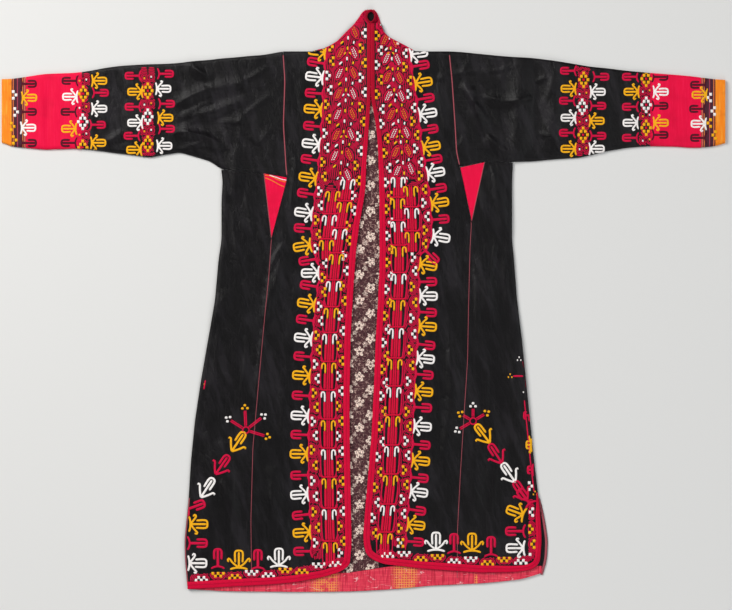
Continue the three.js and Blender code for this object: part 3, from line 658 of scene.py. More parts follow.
def heading(line):
    """The direction of a line of points at each of them."""
    ahead = np.gradient(line, axis=0)
    return ahead / np.maximum(np.hypot(*ahead.T), 1e-6)[:, None]


def edging(name, line, wide, inward, material):
    """A looped silk braid sewn flat along an edge. `wide` gives its width at each point of the line."""
    points, run = resample(line, 2.0)
    for _ in range(6):
        # Wears the corners off the line.
        points[1:-1] = 0.25 * points[:-2] + 0.5 * points[1:-1] + 0.25 * points[2:]
    ahead = heading(points)
    across = np.linspace(0, 1, 9)
    width = np.interp(run / run[-1], np.linspace(0, 1, len(wide)), wide)
    loops = run * math.tau / BRAID_LOOP
    reach = width[:, None] * across[None, :]
    reach[:, -1] += 0.35 * np.sin(loops)
    reach[:, 0] -= 0.5 * (0.35 * np.sin(loops))
    x = points[:, :1] - inward * ahead[:, 1:] * reach
    y = points[:, 1:] + inward * ahead[:, :1] * reach
    beat = 0.16 * np.sin(loops[:, None] + 2.4 * np.abs(2 * across[None, :] - 1))
    body = (1 - np.abs(2 * across - 1) ** 3)[None, :]
    base = np.minimum(loft(x, y), surface(x, y)) + GAP
    z = base + BRAID_THICK * (0.35 + 0.65 * body) + beat * body
    uv = stacked(run[:, None] * MM, across[None, :])
    return cloth(name, stacked(x, y, z), stacked(x, y, base), material, uv=uv)


def braid_width(y):
    """The edging of an opening, drawn in narrow along the collar."""
    return np.interp(y, [130, 230, 330, 410], [BRAID_WIDE, 11.0, 8.8, COLLAR_BRAID])


def front_edging(key, material):
    """The braid up one opening, from the side seam at the hem round the corner and up to the collar's tip."""
    side = SIDES[key]
    sign = side["sign"]
    heights = np.linspace(HOOD_TOP + 1, -488, 300)
    opening = stacked(front_x(key, heights) + sign * (0.4 - 1.3 * smooth(heights, 370, 430)), heights)
    along = np.linspace(side["front"]["x"][-1], seam_x(key, NEAR_HEM), 120)
    hem = stacked(along + sign * 0.2, hem_y(key, along) + 0.4)
    run, corner = np.linspace(0, 1, 120), 0.8
    at_hem = np.interp(run, [corner, 1], [BRAID_WIDE, HEM_BRAID])
    wide = np.where(run < corner, braid_width(HOOD_TOP - 1250 * run), at_hem)
    piece = edging(f"front_edging_{key}", np.concatenate([opening, hem[2:]]), wide, sign, material)
    return place(piece, [f"front_braid_{key}", f"collar_braid_{key}"])


def side_edging(key, material):
    """The same braid along the hem of a side panel, and up the slit on the left."""
    side = SIDES[key]
    sign = side["sign"]
    end = 349.0 if side["back"] else outline_x(key, -560) + 1.5
    along = np.linspace(seam_x(key, NEAR_HEM) + sign * SEAM, end, 90)
    line, wide = stacked(along, hem_y(key, along) + 0.4), [HEM_BRAID, HEM_BRAID]
    if side["back"]:
        up = np.linspace(-517, SLIT_TOP + 4, 60)
        line = np.concatenate([line, stacked(outline_x(key, up) - 0.5, up)])
        wide += [13.0, 11.5, 11.5, 11.0, 10.0, 2.5]
    piece = edging(f"side_edging_{key}", line, wide, sign, material)
    return place(piece, [f"side_braid_{key}"])


# ---- Materials ----
class Value:
    """A number that varies over the cloth, worked out by a material's own nodes."""

    def __init__(self, tree, socket):
        self.tree, self.socket = tree, socket

    def math(self, operation, *others):
        node = self.tree.nodes.new("ShaderNodeMath")
        node.operation = operation
        for socket, value in zip(node.inputs, (self, *others)):
            feed(self.tree, socket, value)
        return Value(self.tree, node.outputs[0])

    def wrap(self, period):
        """The remainder within a repeat, counted from its middle."""
        return (self + period / 2).math("FLOORED_MODULO", period) - period / 2

    def rise(self, start, end):
        """0 before start and 1 past end, with a smooth step between them."""
        node = self.tree.nodes.new("ShaderNodeMapRange")
        node.interpolation_type = "SMOOTHSTEP"
        for name, value in {"Value": self, "From Min": start, "From Max": end}.items():
            feed(self.tree, node.inputs[name], value)
        return Value(self.tree, node.outputs["Result"])

    def fall(self, start, end):
        return self.rise(start, end) * -1 + 1


for method, operation in {
        "__add__": "ADD", "__sub__": "SUBTRACT", "__mul__": "MULTIPLY", "sin": "SINE", "abs": "ABSOLUTE",
        "root": "SQRT", "atan2": "ARCTAN2", "most": "MAXIMUM"}.items():
    setattr(Value, method, functools.partialmethod(Value.math, operation))


def feed(tree, socket, value):
    """Links a varying number to a socket, or sets a plain one on it."""
    if isinstance(value, Value):
        tree.links.new(value.socket, socket)
    else:
        socket.default_value = value


class Material:
    """A procedural material built up on one shader."""

    def __init__(self, name, colour, roughness, sheen=0.0, sheen_roughness=0.4, specular=0.5):
        self.made = bpy.data.materials.new(name)
        self.made.use_nodes = True
        self.tree = self.made.node_tree
        self.shader = self.tree.nodes["Principled BSDF"]
        self.base = (*linear(colour), 1)
        for name, value in {
                "Base Color": self.base, "Roughness": roughness, "Specular IOR Level": specular,
                "Sheen Weight": sheen, "Sheen Roughness": sheen_roughness}.items():
            self.shader.inputs[name].default_value = value
        self.colour = None

    def where(self):
        """The point being shaded, across the garment and up it, in millimetres."""
        return [part * (1 / MM) for part in self.coordinates("Object")]

    def coordinates(self, kind):
        """The first two numbers of a kind of coordinates. In UV they run along a stitch and across it."""
        node = self.tree.nodes.new("ShaderNodeTexCoord")
        split = self.tree.nodes.new("ShaderNodeSeparateXYZ")
        self.tree.links.new(node.outputs[kind], split.inputs[0])
        return [Value(self.tree, socket) for socket in split.outputs[:2]]

    def noise(self, x, y, z=0.0, detail=2.0, rough=0.5):
        """Smooth noise from 0 to 1 at a place made of three numbers."""
        join = self.tree.nodes.new("ShaderNodeCombineXYZ")
        for socket, value in zip(join.inputs, (x, y, z)):
            feed(self.tree, socket, value)
        node = self.tree.nodes.new("ShaderNodeTexNoise")
        where = Value(self.tree, join.outputs[0])
        for name, value in {"Scale": 1.0, "Detail": detail, "Roughness": rough, "Vector": where}.items():
            feed(self.tree, node.inputs[name], value)
        return Value(self.tree, node.outputs[0])

    def tint(self, amount, colour):
        """Lays another colour over what is there, by an amount that varies."""
        node = self.tree.nodes.new("ShaderNodeMix")
        node.data_type, node.clamp_factor = "RGBA", True
        self.tree.links.new(amount.socket, node.inputs["Factor"])
        before, after = (socket for socket in node.inputs if socket.type == "RGBA")
        before.default_value, after.default_value = self.base, (*linear(colour), 1)
        if self.colour is not None:
            self.tree.links.new(self.colour, before)
        self.colour = next(socket for socket in node.outputs if socket.type == "RGBA")
        self.tree.links.new(self.colour, self.shader.inputs["Base Color"])

    def relief(self, height, deep):
        """Bumps of that many millimetres."""
        node = self.tree.nodes.new("ShaderNodeBump")
        node.inputs["Distance"].default_value = deep * MM
        self.tree.links.new(height.socket, node.inputs["Height"])
        self.tree.links.new(node.outputs[0], self.shader.inputs["Normal"])


def linear(colour):
    """A screen colour, each part from 0 to 1, as the light it gives."""
    return tuple(c / 12.92 if c <= 0.04045 else ((c + 0.055) / 1.055) ** 2.4 for c in colour)


def dimmed(colour, by):
    """A screen colour, darker by a share."""
    return tuple(c * by for c in colour)


def weave(m, x, y, warp=1.1, weft=0.9):
    """The relief of a plain weave with uneven threads."""
    along = (x * (math.tau / warp) + m.noise(x * 0.3, y * 0.02) * 5).sin()
    over = (y * (math.tau / weft) + m.noise(x * 0.02, y * 0.3, 4.0) * 5).sin()
    return along * 0.5 + over * 0.5


def dark_silk(name, colours, along_y=True):
    """Thin black home-woven silk with a warm grey bloom, uneven along its threads; part of the grey is painted
    sheen in long patches along the folds.
    """
    m = Material(name, colours.dark_silk, 0.36, sheen=0.01, sheen_roughness=0.35, specular=0.18)
    x, y = m.where()
    # Long slanting patches of painted sheen, standing in for the light that the folds catch.
    painted_fold_sheen = m.noise(x * 0.042 + y * 0.013, y * 0.009, 21.0, 3.0, 0.6)
    crease = (m.noise(x * 0.036 + y * 0.014, y * 0.013 - x * 0.006, 31.0, 3.0, 0.6) - 0.5).abs()
    if not along_y:
        x, y = y, x
    slub = m.noise(x * 0.55, y * 0.012, 2.0, 3.0, 0.6)
    patch = m.noise(x * 0.013, y * 0.009, 7.0, 3.0, 0.55)
    m.tint(slub.rise(0.48, 0.78) * 0.4, (0.16, 0.145, 0.155))
    m.tint(m.noise(x * 0.03, y * 0.9, 5.0, 2.0).rise(0.52, 0.8) * 0.3, (0.16, 0.145, 0.15))
    # Painted sheen: the lighter grey laid over those patches.
    m.tint(painted_fold_sheen.rise(0.44, 0.64) * 0.7, (0.135, 0.125, 0.14))
    m.tint(patch.rise(0.42, 0.65) * 0.7, (0.035, 0.03, 0.035))
    m.relief(weave(m, x, y) * 0.5 + slub * 1.2 + crease.rise(0.0, 0.07) * 2.5, 0.12)
    return m.made


def red_silk(name, colours):
    m = Material(name, colours.red_silk, 0.55, sheen=0.03, sheen_roughness=0.4, specular=0.14)
    x, y = m.where()
    slub = m.noise(x * 0.5, y * 0.02, 3.0, 3.0, 0.6)
    m.tint(slub.rise(0.45, 0.75) * 0.4, (0.98, 0.12, 0.34))
    m.tint(m.noise(x * 0.02, y * 0.02, 8.0).rise(0.45, 0.75) * 0.5, (0.80, 0.0, 0.20))
    m.relief(weave(m, x, y) * 0.5 + slub, 0.12)
    return m.made


def striped_silk(name, colours):
    """The cuff's dark silk, striped round the arm in rust, plum and pink."""
    m = Material(name, colours.striped_silk, 0.5, sheen=0.04, specular=0.2)
    x, y = m.where()
    out = x.abs() + m.noise(x * 0.02, y * 0.02) * 1.2
    m.tint((out * (math.tau / 7.0)).sin().rise(0.1, 0.9) * 0.7, (0.36, 0.10, 0.16))
    m.tint((out * (math.tau / 4.4)).sin().rise(0.55, 0.95) * 0.5, (0.14, 0.08, 0.15))
    for centre, wide, colour in ((677.5, 1.3, (0.93, 0.45, 0.35)), (681.5, 0.8, (0.95, 0.55, 0.25)),
                                 (692, 0.8, (0.75, 0.25, 0.35)), (700.5, 1.0, (0.93, 0.50, 0.25))):
        m.tint((out - centre).abs().fall(wide * 0.5, wide * 1.4) * 0.8, colour)
    m.relief(weave(m, x, y), 0.12)
    return m.made


def yellow_silk(name, colours):
    m = Material(name, colours.yellow_silk, 0.5, sheen=0.05, specular=0.2)
    x, y = m.where()
    m.tint(m.noise(x * 0.3, y * 0.02, 3.0, 3.0).rise(0.45, 0.7) * 0.6, (1.0, 0.70, 0.24))
    m.tint(m.noise(x * 0.05, y * 0.05, 9.0).rise(0.5, 0.75) * 0.6, (0.86, 0.42, 0.06))
    m.relief(weave(m, x, y), 0.12)
    return m.made


def crimson_braid(name, colours):
    """Loop-braided silk: two rows of slanting loops that meet in the middle of the braid, with painted shade
    between the loops and in the groove down the middle.
    """
    m = Material(name, colours.braid, 0.65, sheen=0.02, specular=0.12)
    u, v = m.coordinates("UV")
    from_middle = (v - 0.5).abs()
    loops = (u * (math.tau / (2.6 * MM)) + from_middle * 9).sin()
    groove = from_middle.fall(0.02, 0.10)
    # Painted shade: the braid's colour dimmed between the loops and down the middle groove, where the relief sinks.
    m.tint(loops.rise(0.1, 1.0) * 0.5, dimmed(colours.braid, 0.66))
    m.tint(groove * 0.45, dimmed(colours.braid, 0.6))
    x, y = m.where()
    m.tint(y.rise(250, 420) * 0.75, (0.62, 0.02, 0.13))
    m.tint(m.noise(x * 0.05, y * 0.05, 3.0).rise(0.45, 0.7) * 0.35, dimmed(colours.braid, 0.86))
    m.relief(loops * -0.6 - groove * 0.8, 0.3)
    return m.made


def thread(name, colour, roughness=0.5):
    """Silk floss in close chain stitch, with painted shade in the dips between its links and along the groove down
    its middle.
    """
    m = Material(name, colour, roughness, sheen=0.02, specular=0.14)
    u, v = m.coordinates("UV")
    link = (u * (math.pi / (2.1 * MM))).sin().abs()
    groove = (v - 0.5).abs().fall(0.0, 0.16)
    # Painted shade: the thread's colour dimmed in the dips between the links and down the middle, where the relief
    # sinks.
    m.tint(link.fall(0.05, 0.5) * 0.42, dimmed(colour, 0.62))
    m.tint(groove * 0.16, dimmed(colour, 0.7))
    x, y = m.where()
    m.tint(m.noise(x * 0.35, y * 0.35, 1.0, 3.0).rise(0.5, 0.75) * 0.3, dimmed(colour, 0.8))
    m.relief(link * 0.8 - groove * 0.3, 0.35)
    return m.made


def printed_cotton(name, colours):
    """Brown cotton printed with sprigs of small flowers in a half drop."""
    m = Material(name, colours.lining, 0.85, specular=0.2)
    x, y = m.where()
    x = x + (m.noise(x * 0.17, y * 0.17, 2.0) - 0.5) * 9
    y = y + (m.noise(x * 0.17, y * 0.17, 6.0) - 0.5) * 9
    flowers = None
    # Two large flowers and two small ones, in a repeat of 44 by 51.
    for shift_x, shift_y, spin, size in (
            (8, 0, 0.3, 1), (30, 25.5, 1.1, 1), (17, 13, 0.7, 0.45), (41, 38, 0.2, 0.5)):
        u, v = (x + shift_x).wrap(44), (y + shift_y).wrap(51)
        far = (u * u + v * v).root()
        rim = ((v.atan2(u) + spin) * 2.5).sin().abs() * (5.6 * size) + 4.6 * size
        bloom = (rim - far).rise(-0.5, 0.8) * (far - rim * 0.28).rise(-0.5, 0.7)
        bloom = bloom * (far - rim * 0.68).abs().rise(0.1, 0.9)
        flowers = bloom if flowers is None else flowers.most(bloom)
    twigs = (m.noise(x * 0.13, y * 0.13, 4.0, 1.0) - 0.5).abs().fall(0.01, 0.03)
    twigs = twigs * m.noise(x * 0.1, y * 0.1, 14.0).rise(0.42, 0.48)
    specks = m.noise(x * 0.42, y * 0.42, 9.0, 2.0).rise(0.58, 0.64)
    m.tint(m.noise(x * 0.24, y * 0.24, 11.0, 3.0).rise(0.5, 0.6) * 0.7, (0.17, 0.08, 0.10))
    m.tint(specks * 0.45, (0.52, 0.38, 0.37))
    m.tint(twigs * 0.75, (0.74, 0.61, 0.57))
    m.tint(flowers * m.noise(x * 0.5, y * 0.5, 17.0).rise(0.26, 0.44), (0.97, 0.88, 0.82))
    m.relief(weave(m, x, y, 1.2, 1.2), 0.08)
    return m.made


def facing_ikat(name, colours):
    """Pink-red cotton with squares of yellow check, and ends of white tacking thread."""
    m = Material(name, colours.facing, 0.8, specular=0.2)
    x, y = m.where()
    # The squares lie in three stripes, worn away in places.
    stripes = [
        (x - middle).abs().fall(full, none)
        for middle, full, none in ((-77, 14, 36), (84, 12, 34), (225, 1, 5))]
    warm = stripes[0].most(stripes[1]).most(stripes[2]) * m.noise(x * 0.06, y * 0.06).rise(0.3, 0.5)
    check_x, check_y = ((at * (math.tau / 5)).sin().rise(0.2, 0.8) for at in (x, y))
    m.tint(m.noise(x * 0.02, y * 0.35, 5.0, 2.0).rise(0.45, 0.7) * 0.6, (0.96, 0.38, 0.42))
    m.tint(m.noise(x * 0.35, y * 0.03, 8.0, 3.0).rise(0.46, 0.62) * 0.7, (0.70, 0.10, 0.20))
    m.tint(warm * check_x.most(check_y) * 0.75, (0.95, 0.66, 0.30))
    tacking = (m.noise(x * 0.02, y * 0.05, 9.0, 2.0) * 60 + y).wrap(14).abs().fall(0.2, 0.7)
    m.tint(tacking * m.noise(x * 0.06, y * 0.06, 13.0).rise(0.52, 0.6) * 0.6, (0.95, 0.85, 0.84))
    m.relief(weave(m, x, y, 1.2, 1.2), 0.1)
    return m.made


def plain_floor(name, colour):
    return Material(name, colour, 0.9, specular=0.1).made


def material(name, make, *arguments):
    """A material by name, made once."""
    return bpy.data.materials.get(name) or make(name, *arguments)


# ---- Embroidery ----
# Each lapel's ornament, by height: the line that its outer row stands on, the middles of its two ladders, the
# ladder's bars, the second ladder's pairs of hooks, the outer row, the checkers on both sides and the leaves. A
# column of leaves is its place from the edging to the outer row, its first leaf, the step down and their number.
LAPELS = {
    "right": {
        "base": table("y x", [
            [560.5, -67], [494.5, -74], [444.5, -79], [376.5, -82], [310.5, -85.8], [244.5, -92], [172.5, -101],
            [110.5, -104], [96.5, -101], [76.5, -90], [54.5, -87], [-9.5, -95.4], [-77.5, -101.4], [-151.5, -105],
            [-231.5, -108], [-307.5, -110], [-387.5, -109], [-463.5, -104], [-549.5, -103]]),
        "ladder": table("y x", [
            [250.5, -29], [190.5, -37.8], [134.5, -47.6], [82.5, -54.6], [34.5, -59.8], [-15.5, -64],
            [-69.5, -67.4], [-125.5, -69.2], [-185.5, -70.6], [-299.5, -70.2], [-359.5, -68.8], [-429.5, -68.4],
            [-501.5, -66]]),
        "second": table("y x", [[220.5, -60], [207.5, -62], [160.5, -68.4], [111.5, -74.2]]),
        "bars": (244.5, 198.5, 144.5, 94.5, 40.5, -13.1, -64.7, -122.5, -179.5, -237.5, -295.5, -353.5, -415.5,
                 -481.5),
        "second_hooks": ((216.5, "yellow"), (168.5, "white"), (118.5, "yellow")),
        "row": (494.5, 472.5, 444.5, 412.5, 380.5, 346.5, 310.5, 278.5, 242.5, 210.5, 172.5, 142.5, 110.5, 82.5,
                54.5, 26.5, -9.5, -41.5, -77.5, -113.5, -151.5, -191.5, -231.5, -269.5, -307.5, -349.5, -387.5,
                -427.5, -463.5, -501.5),
        "row_kinds": ("yellow", "comb", "white", "comb"),
        # Some checkers of each column by their number in it, each with its height, and the colours in turn.
        "inner_checkers": (((-3, 594), (0, 503.3), (8, 269), (23, -181.5), (33, -481.5), (34, -505)),
                           ("yellow", "yellow", "white", "white")),
        "outer_checkers": (((-1, 535), (0, 506.5), (24, -185.5), (28, -299), (34, -485)),
                           ("yellow", "yellow", "white", "white")),
        "leaves": ((0.30, 535.3, 40.7, 8), (0.645, 494.5, 41.2, 6)),
    },
    "left": {
        "base": table("y x", [
            [560.5, 73], [490.5, 92], [432.5, 101], [370.5, 110.2], [304.5, 117], [252.5, 126], [192.5, 134],
            [128.5, 137], [108.5, 129], [88.5, 113], [72.5, 110], [8.5, 111], [-59.5, 109], [-119.5, 105],
            [-199.5, 101], [-279.5, 98], [-373.5, 92.6], [-449.5, 86], [-519.5, 83]]),
        "ladder": table("y x", [
            [252.5, 69.6], [194.5, 68], [146.5, 69.2], [94.5, 71.8], [40.5, 71], [-13.5, 68.2], [-59.5, 66],
            [-119.5, 63], [-199.5, 60], [-279.5, 57], [-369.5, 53.4], [-421.5, 47.6], [-481.5, 42]]),
        "second": table("y x", [[228.5, 93.6], [216.5, 94.4], [173.7, 96.6], [125.3, 97.6]]),
        "bars": (248.5, 205.7, 159.7, 109.9, 55.3, 2.5, -53.5, -115.5, -171.5, -229.5, -289.5, -347.5, -407.5,
                 -463.5),
        "second_hooks": ((226.5, "yellow"), (182.5, "white"), (134.5, "yellow")),
        "row": (490.5, 466.5, 432.5, 400.5, 370.5, 338.5, 304.5, 278.5, 252.5, 220.5, 192.5, 160.5, 128.5, 100.5,
                72.5, 36.5, 8.5, -23.5, -51.5, -87.5, -115.5, -147.5, -181.5, -213.5, -251.5, -287.5, -319.5,
                -353.5, -381.5, -417.5, -447.5, -481.5),
        "row_kinds": ("white", "comb", "yellow", "comb"),
        "inner_checkers": (((-3, 587), (0, 499.1), (9, 235.3), (25, -191.5), (34, -465)),
                           ("white", "white", "yellow", "yellow")),
        "outer_checkers": (((-1, 520), (0, 493.3), (16, 58.5), (24, -193.5), (34, -485), (35, -485)),
                           ("white", "yellow", "yellow", "white")),
        "leaves": ((0.318, 520.5, 37.4, 8), (0.645, 516.9, 36.3, 8)),
    },
}
LEAF_FOOT, HIGHEST_CHECKER, HIGHEST_LEAF = 252.0, 556, 560

# Motifs, in millimetres: u runs out from the line that the motif stands on, and v along it. A motif is a list of
# strokes, each its points and its width.
PALMETTE = (
    (((0.5, -15), (2.8, -8), (3.4, 0), (2.8, 8), (0.5, 15)), 4.6),
    (((2, 0), (34, 0)), 5.0),
    (((13.5, -6.9), (30, -8), (35.4, -6.4), (36, 0), (35.4, 6.4), (30, 8), (14.5, 6.9)), 4.7),
    (((4, -1), (9, -7.5), (14, -13.5), (17.5, -16.5), (15, -19.5), (11.5, -17)), 4.6),
    (((4, 1), (8.5, 6.5), (12.5, 11.5), (14.8, 16), (11.5, 19), (8.6, 14.5)), 4.6),
)
WIDE_PALMETTE = (
    (((0, -17), (2.6, -9), (3.2, 0), (2.6, 9), (0, 17)), 4.6),
    (((2, 0), (33, 0)), 5.0),
    (((13, -7), (30, -8), (35.4, -6.4), (36, 0), (35.4, 6.4), (30, 8), (13, 7)), 4.7),
    *((((4, s), (9, 8 * s), (14, 13.5 * s), (19, 16.5 * s), (21.5, 20 * s), (17.5, 22 * s), (14, 19.5 * s)), 4.4)
      for s in (-1, 1)),
)
COMB = (
    (((-2.5, -13), (0.5, -8), (2.4, 0), (0.5, 8), (-2.5, 13)), 4.4),
    (((1, 0), (33, 0)), 6.0),
    (((15, -6.9), (30, -7.4), (34.6, -5.4), (34.8, 5.4), (30, 7.4), (15, 6.9)), 5.4),
)
ANCHOR = (
    (((19, -5.6), (36, -6.2), (40.5, -3), (40.5, 3), (36, 6.2), (19, 5.6)), 4.7),
    (((1, 0), (37, 0)), 4.8),
    *((((0, 0), (7, 6 * s), (14, 11 * s), (19, 13.8 * s), (19.5, 17 * s), (16.5, 17.5 * s)), 4.6) for s in (-1, 1)),
)
HOOK = (((6.9, -23.5), (6.7, -9), (7.6, -4.8), (10.4, -3.4), (13.2, -5.0), (13.9, -9), (13.6, -15)), 3.9)

# The room that a checker takes up, upright or along the hem: half its width and height, its turn, and how square.
CHECKER_ROOM, HEM_CHECKER_ROOM = (3.8, 8.2, 0.0, 1.8), (8.2, 3.8, 0.0, 1.8)
# Where along a palmette or comb its middle lies, and how far off a motif can be and still be a neighbour.
MOTIF_MIDDLE, NEIGHBOURS = 17.5, 75
# The longest step along a run of stitching, between one set of its points and the next.
STITCH_STEP = 2.6

SLEEVES = (
    # Each sleeve's rows: the kind, the way that its motifs point, and every one's x, y and colour.
    ("right", (
        ("diamond", 0, ((-431, 418.5, "yellow"), (-431, 366.5, "white"), (-431, 312.5, "yellow"),
                        (-560, 412.5, "yellow"), (-561, 356.5, "white"), (-561, 304.5, "yellow"))),
        ("motif", 180, ((-461, 448.5, "crimson"), (-455, 416.5, "yellow"), (-461, 386.5, "crimson"),
                        (-455, 354.5, "white"), (-463, 328.5, "crimson"), (-457, 300.5, "yellow"),
                        (-587, 438.5, "plum"), (-585, 406.5, "white"), (-589, 376.5, "plum"),
                        (-587, 342.5, "yellow"), (-589, 314.5, "plum"))),
        ("motif", 0, ((-395, 452.5, "crimson"), (-401, 422.5, "white"), (-393, 392.5, "crimson"),
                      (-397, 364.5, "yellow"), (-393, 342.5, "crimson"), (-399, 308.5, "white"),
                      (-529, 438.5, "yellow"), (-525, 414.5, "crimson"), (-529, 382.5, "white"),
                      (-531, 350.5, "crimson"), (-531, 314.5, "yellow"),
                      (-669, 404.5, "yellow"), (-671, 344.5, "white"), (-669, 432.5, "plum"),
                      (-669, 376.5, "plum"), (-669, 314.5, "plum"))),
        ("checker", 0, ((-697, 410, "white"), (-694, 376, "white"), (-701, 347, "yellow"), (-697, 320, "yellow"))),
    )),
    ("left", (
        ("diamond", 0, ((440, 440.5, "yellow"), (437, 386.5, "white"), (439, 330.5, "yellow"),
                        (565, 442.5, "yellow"), (565, 390.5, "white"), (565, 344.5, "yellow"))),
        ("motif", 180, ((409, 458.5, "crimson"), (411, 422.5, "yellow"), (407, 398.5, "crimson"),
                        (411, 364.5, "white"), (407, 334.5, "crimson"), (411, 302.5, "yellow"),
                        (533, 446.5, "crimson"), (537, 416.5, "yellow"), (533, 386.5, "crimson"),
                        (535, 354.5, "white"), (533, 324.5, "crimson"),
                        (673, 410.5, "yellow"), (671, 352.5, "white"), (669, 430.5, "plum"),
                        (667, 382.5, "plum"), (669, 324.5, "plum"))),
        ("motif", 0, ((475, 446.5, "crimson"), (467, 416.5, "white"), (469, 388.5, "crimson"),
                      (465, 358.5, "yellow"), (469, 328.5, "crimson"), (465, 302.5, "white"),
                      (593, 446.5, "plum"), (593, 416.5, "white"), (593, 388.5, "plum"),
                      (593, 354.5, "yellow"), (593, 330.5, "plum"))),
        ("checker", 0, ((691, 405, "white"), (699, 378, "white"), (691, 354, "yellow"), (701, 330, "yellow"))),
    )),
)

# Skirt ornament: kind, middle, and the way it points, in degrees from +X.
SKIRT = (
    ("comb", -291, -515.5, 90, "crimson"), ("wide", -249, -519.5, 90, "yellow"),
    ("comb", -211, -517.5, 90, "crimson"), ("wide", -169, -515.5, 90, "white"),
    ("palmette", -333, -525.5, 0, "white"), ("comb", -331, -485.5, 0, "crimson"),
    ("palmette", -331, -447.5, 0, "yellow"), ("comb", -335, -411.5, 20, "crimson"),
    ("wide", 145, -483.5, 90, "white"), ("comb", 181, -485.5, 90, "crimson"),
    ("wide", 217, -485.5, 90, "yellow"), ("comb", 255, -491.5, 90, "crimson"),
    ("palmette", 305, -495.5, 180, "white"), ("comb", 303, -461.5, 180, "crimson"),
    ("palmette", 305, -423.5, 160, "yellow"), ("comb", 322, -393, 128, "crimson"),
)
# The anchors that climb from each corner, from the lowest, and the star at the top of each chain with its tips.
CHAINS = (
    ((-313, -375.5, "white"), (-283, -329.5, "crimson"), (-251, -283.5, "yellow")),
    ((315, -381.5, "crimson"), (291, -345.5, "white"), (265, -307.5, "crimson"), (239, -267.5, "yellow")),
)
# Stripes woven across the top of the right wedge.
WEDGE_STRIPES = (
    ("orange", ((-197, 250), (-186, 249), (-170, 240), (-155, 236))),
    ("white", ((-188, 250), (-174, 245.5), (-162, 241), (-153.5, 240))),
    ("orange", ((-196.5, 245), (-182, 239), (-166, 229.5), (-158, 227))),
)
STARS = (
    (-235, -259.5, ((-273, -235.5, "white"), (-237, -211.5, "yellow"), (-197, -229.5, "white"),
                    (-189, -273.5, "yellow"))),
    (219, -241.5, ((185, -261.5, "white"), (191, -225.5, "yellow"), (219, -207.5, "white"),
                   (249, -223.5, "yellow"))),
)


def curved(points):
    """A line of points with its corners cut twice, which turns it into a smooth curve."""
    points = np.asarray(points, float)
    for _ in range(2):
        cut = np.stack([0.75 * points[:-1] + 0.25 * points[1:], 0.25 * points[:-1] + 0.75 * points[1:]], 1)
        points = np.concatenate([points[:1], cut.reshape(-1, 2), points[-1:]])
    return points


def turned(x, y, angle):
    """A function that finds the point so far along a direction from a place, and so far to the left of it."""
    c, s = math.cos(angle), math.sin(angle)
    return lambda u, v: (x + u * c - v * s, y + u * s + v * c)


def base_x(key, y):
    return read(LAPELS[key]["base"], "y", "x", y, 4.0)


def ladder_x(key, which, y):
    return read(LAPELS[key][which], "y", "x", y, 6.0)


def edging_x(key, y):
    """Where the edging of the opening ends and the stitched ground begins."""
    return front_x(key, y) + SIDES[key]["sign"] * (braid_width(y) + 0.5)


class Threads:
    """Runs of stitching by colour, gathered for one part of the garment and sewn as one mesh to a colour."""

    def __init__(self):
        self.runs = {}

    def run(self, colour, points, wide, high=1.0, check=True, blunt=False):
        """One run along a line of points. `check` keeps it on the cloth, and `blunt` gives it square ends."""
        points = np.asarray(points, float)
        for part in on_cloth(points) if check else (points,):
            self.runs.setdefault(colour, []).append((part, wide, high, blunt))

    def motif(self, strokes, colour, x, y, turn, size=1.0, flip=1, offset=0.0, narrow=1.0):
        """A motif that stands at a point and grows in a direction. `offset` is where on it that point is."""
        spot = turned(x, y, math.radians(turn))
        for points, wide in strokes:
            out, along = curved(points).T
            line = stacked(*spot((out - offset) * size * narrow, along * size * flip))
            self.run(colour, line, wide * (0.4 + 0.6 * size))

    def dot(self, colour, x, y, size=4.4, high=1.0):
        self.run(colour, [(x, y - size * 0.36), (x, y + size * 0.36)], size, high)

    def square(self, colour, x, y, size=6.1):
        """One block of a checker, in satin stitch."""
        self.run(colour, [(x, y - size * 0.5), (x, y + size * 0.5)], size * 1.06, 1.0, blunt=True)

    def checker(self, colour, x, y, facing=1, upright=True):
        """Blocks that meet at their corners: three, or five in a row along the hem."""
        blocks, pitch = (3, 6.6) if upright else (5, 5.3)
        for i in range(blocks):
            along, shift = (i - blocks // 2) * pitch, facing * (5.4 * (i % 2) - 2.7)
            self.square(colour, *((x + shift, y + along) if upright else (x + along, y + shift)))

    def sew(self, area, colours):
        """Makes the piece of every colour."""
        for colour, runs in self.runs.items():
            # Scarlet is the silk of the edging.
            scarlet = colour == "scarlet"
            silk = tuple(colours.braid if scarlet else getattr(colours, colour))
            piece = sewn(f"{colour}_stitches_{area}", runs, material(f"{colour} thread", thread, silk))
            place(piece)


def on_cloth(points):
    """The stretches of a run that lie on the upper side of the garment."""
    line, _ = resample(points, 1.6)
    kept = edge_depth(*line.T) > 0.9
    return (points,) if kept.all() else stretches(line, kept)


def stretches(line, kept):
    """The unbroken parts of a line whose points are all kept."""
    edges = np.flatnonzero(np.diff(np.concatenate([[0], kept.astype(int), [0]])))
    return [line[a:b] for a, b in zip(edges[::2], edges[1::2]) if b - a > 1]


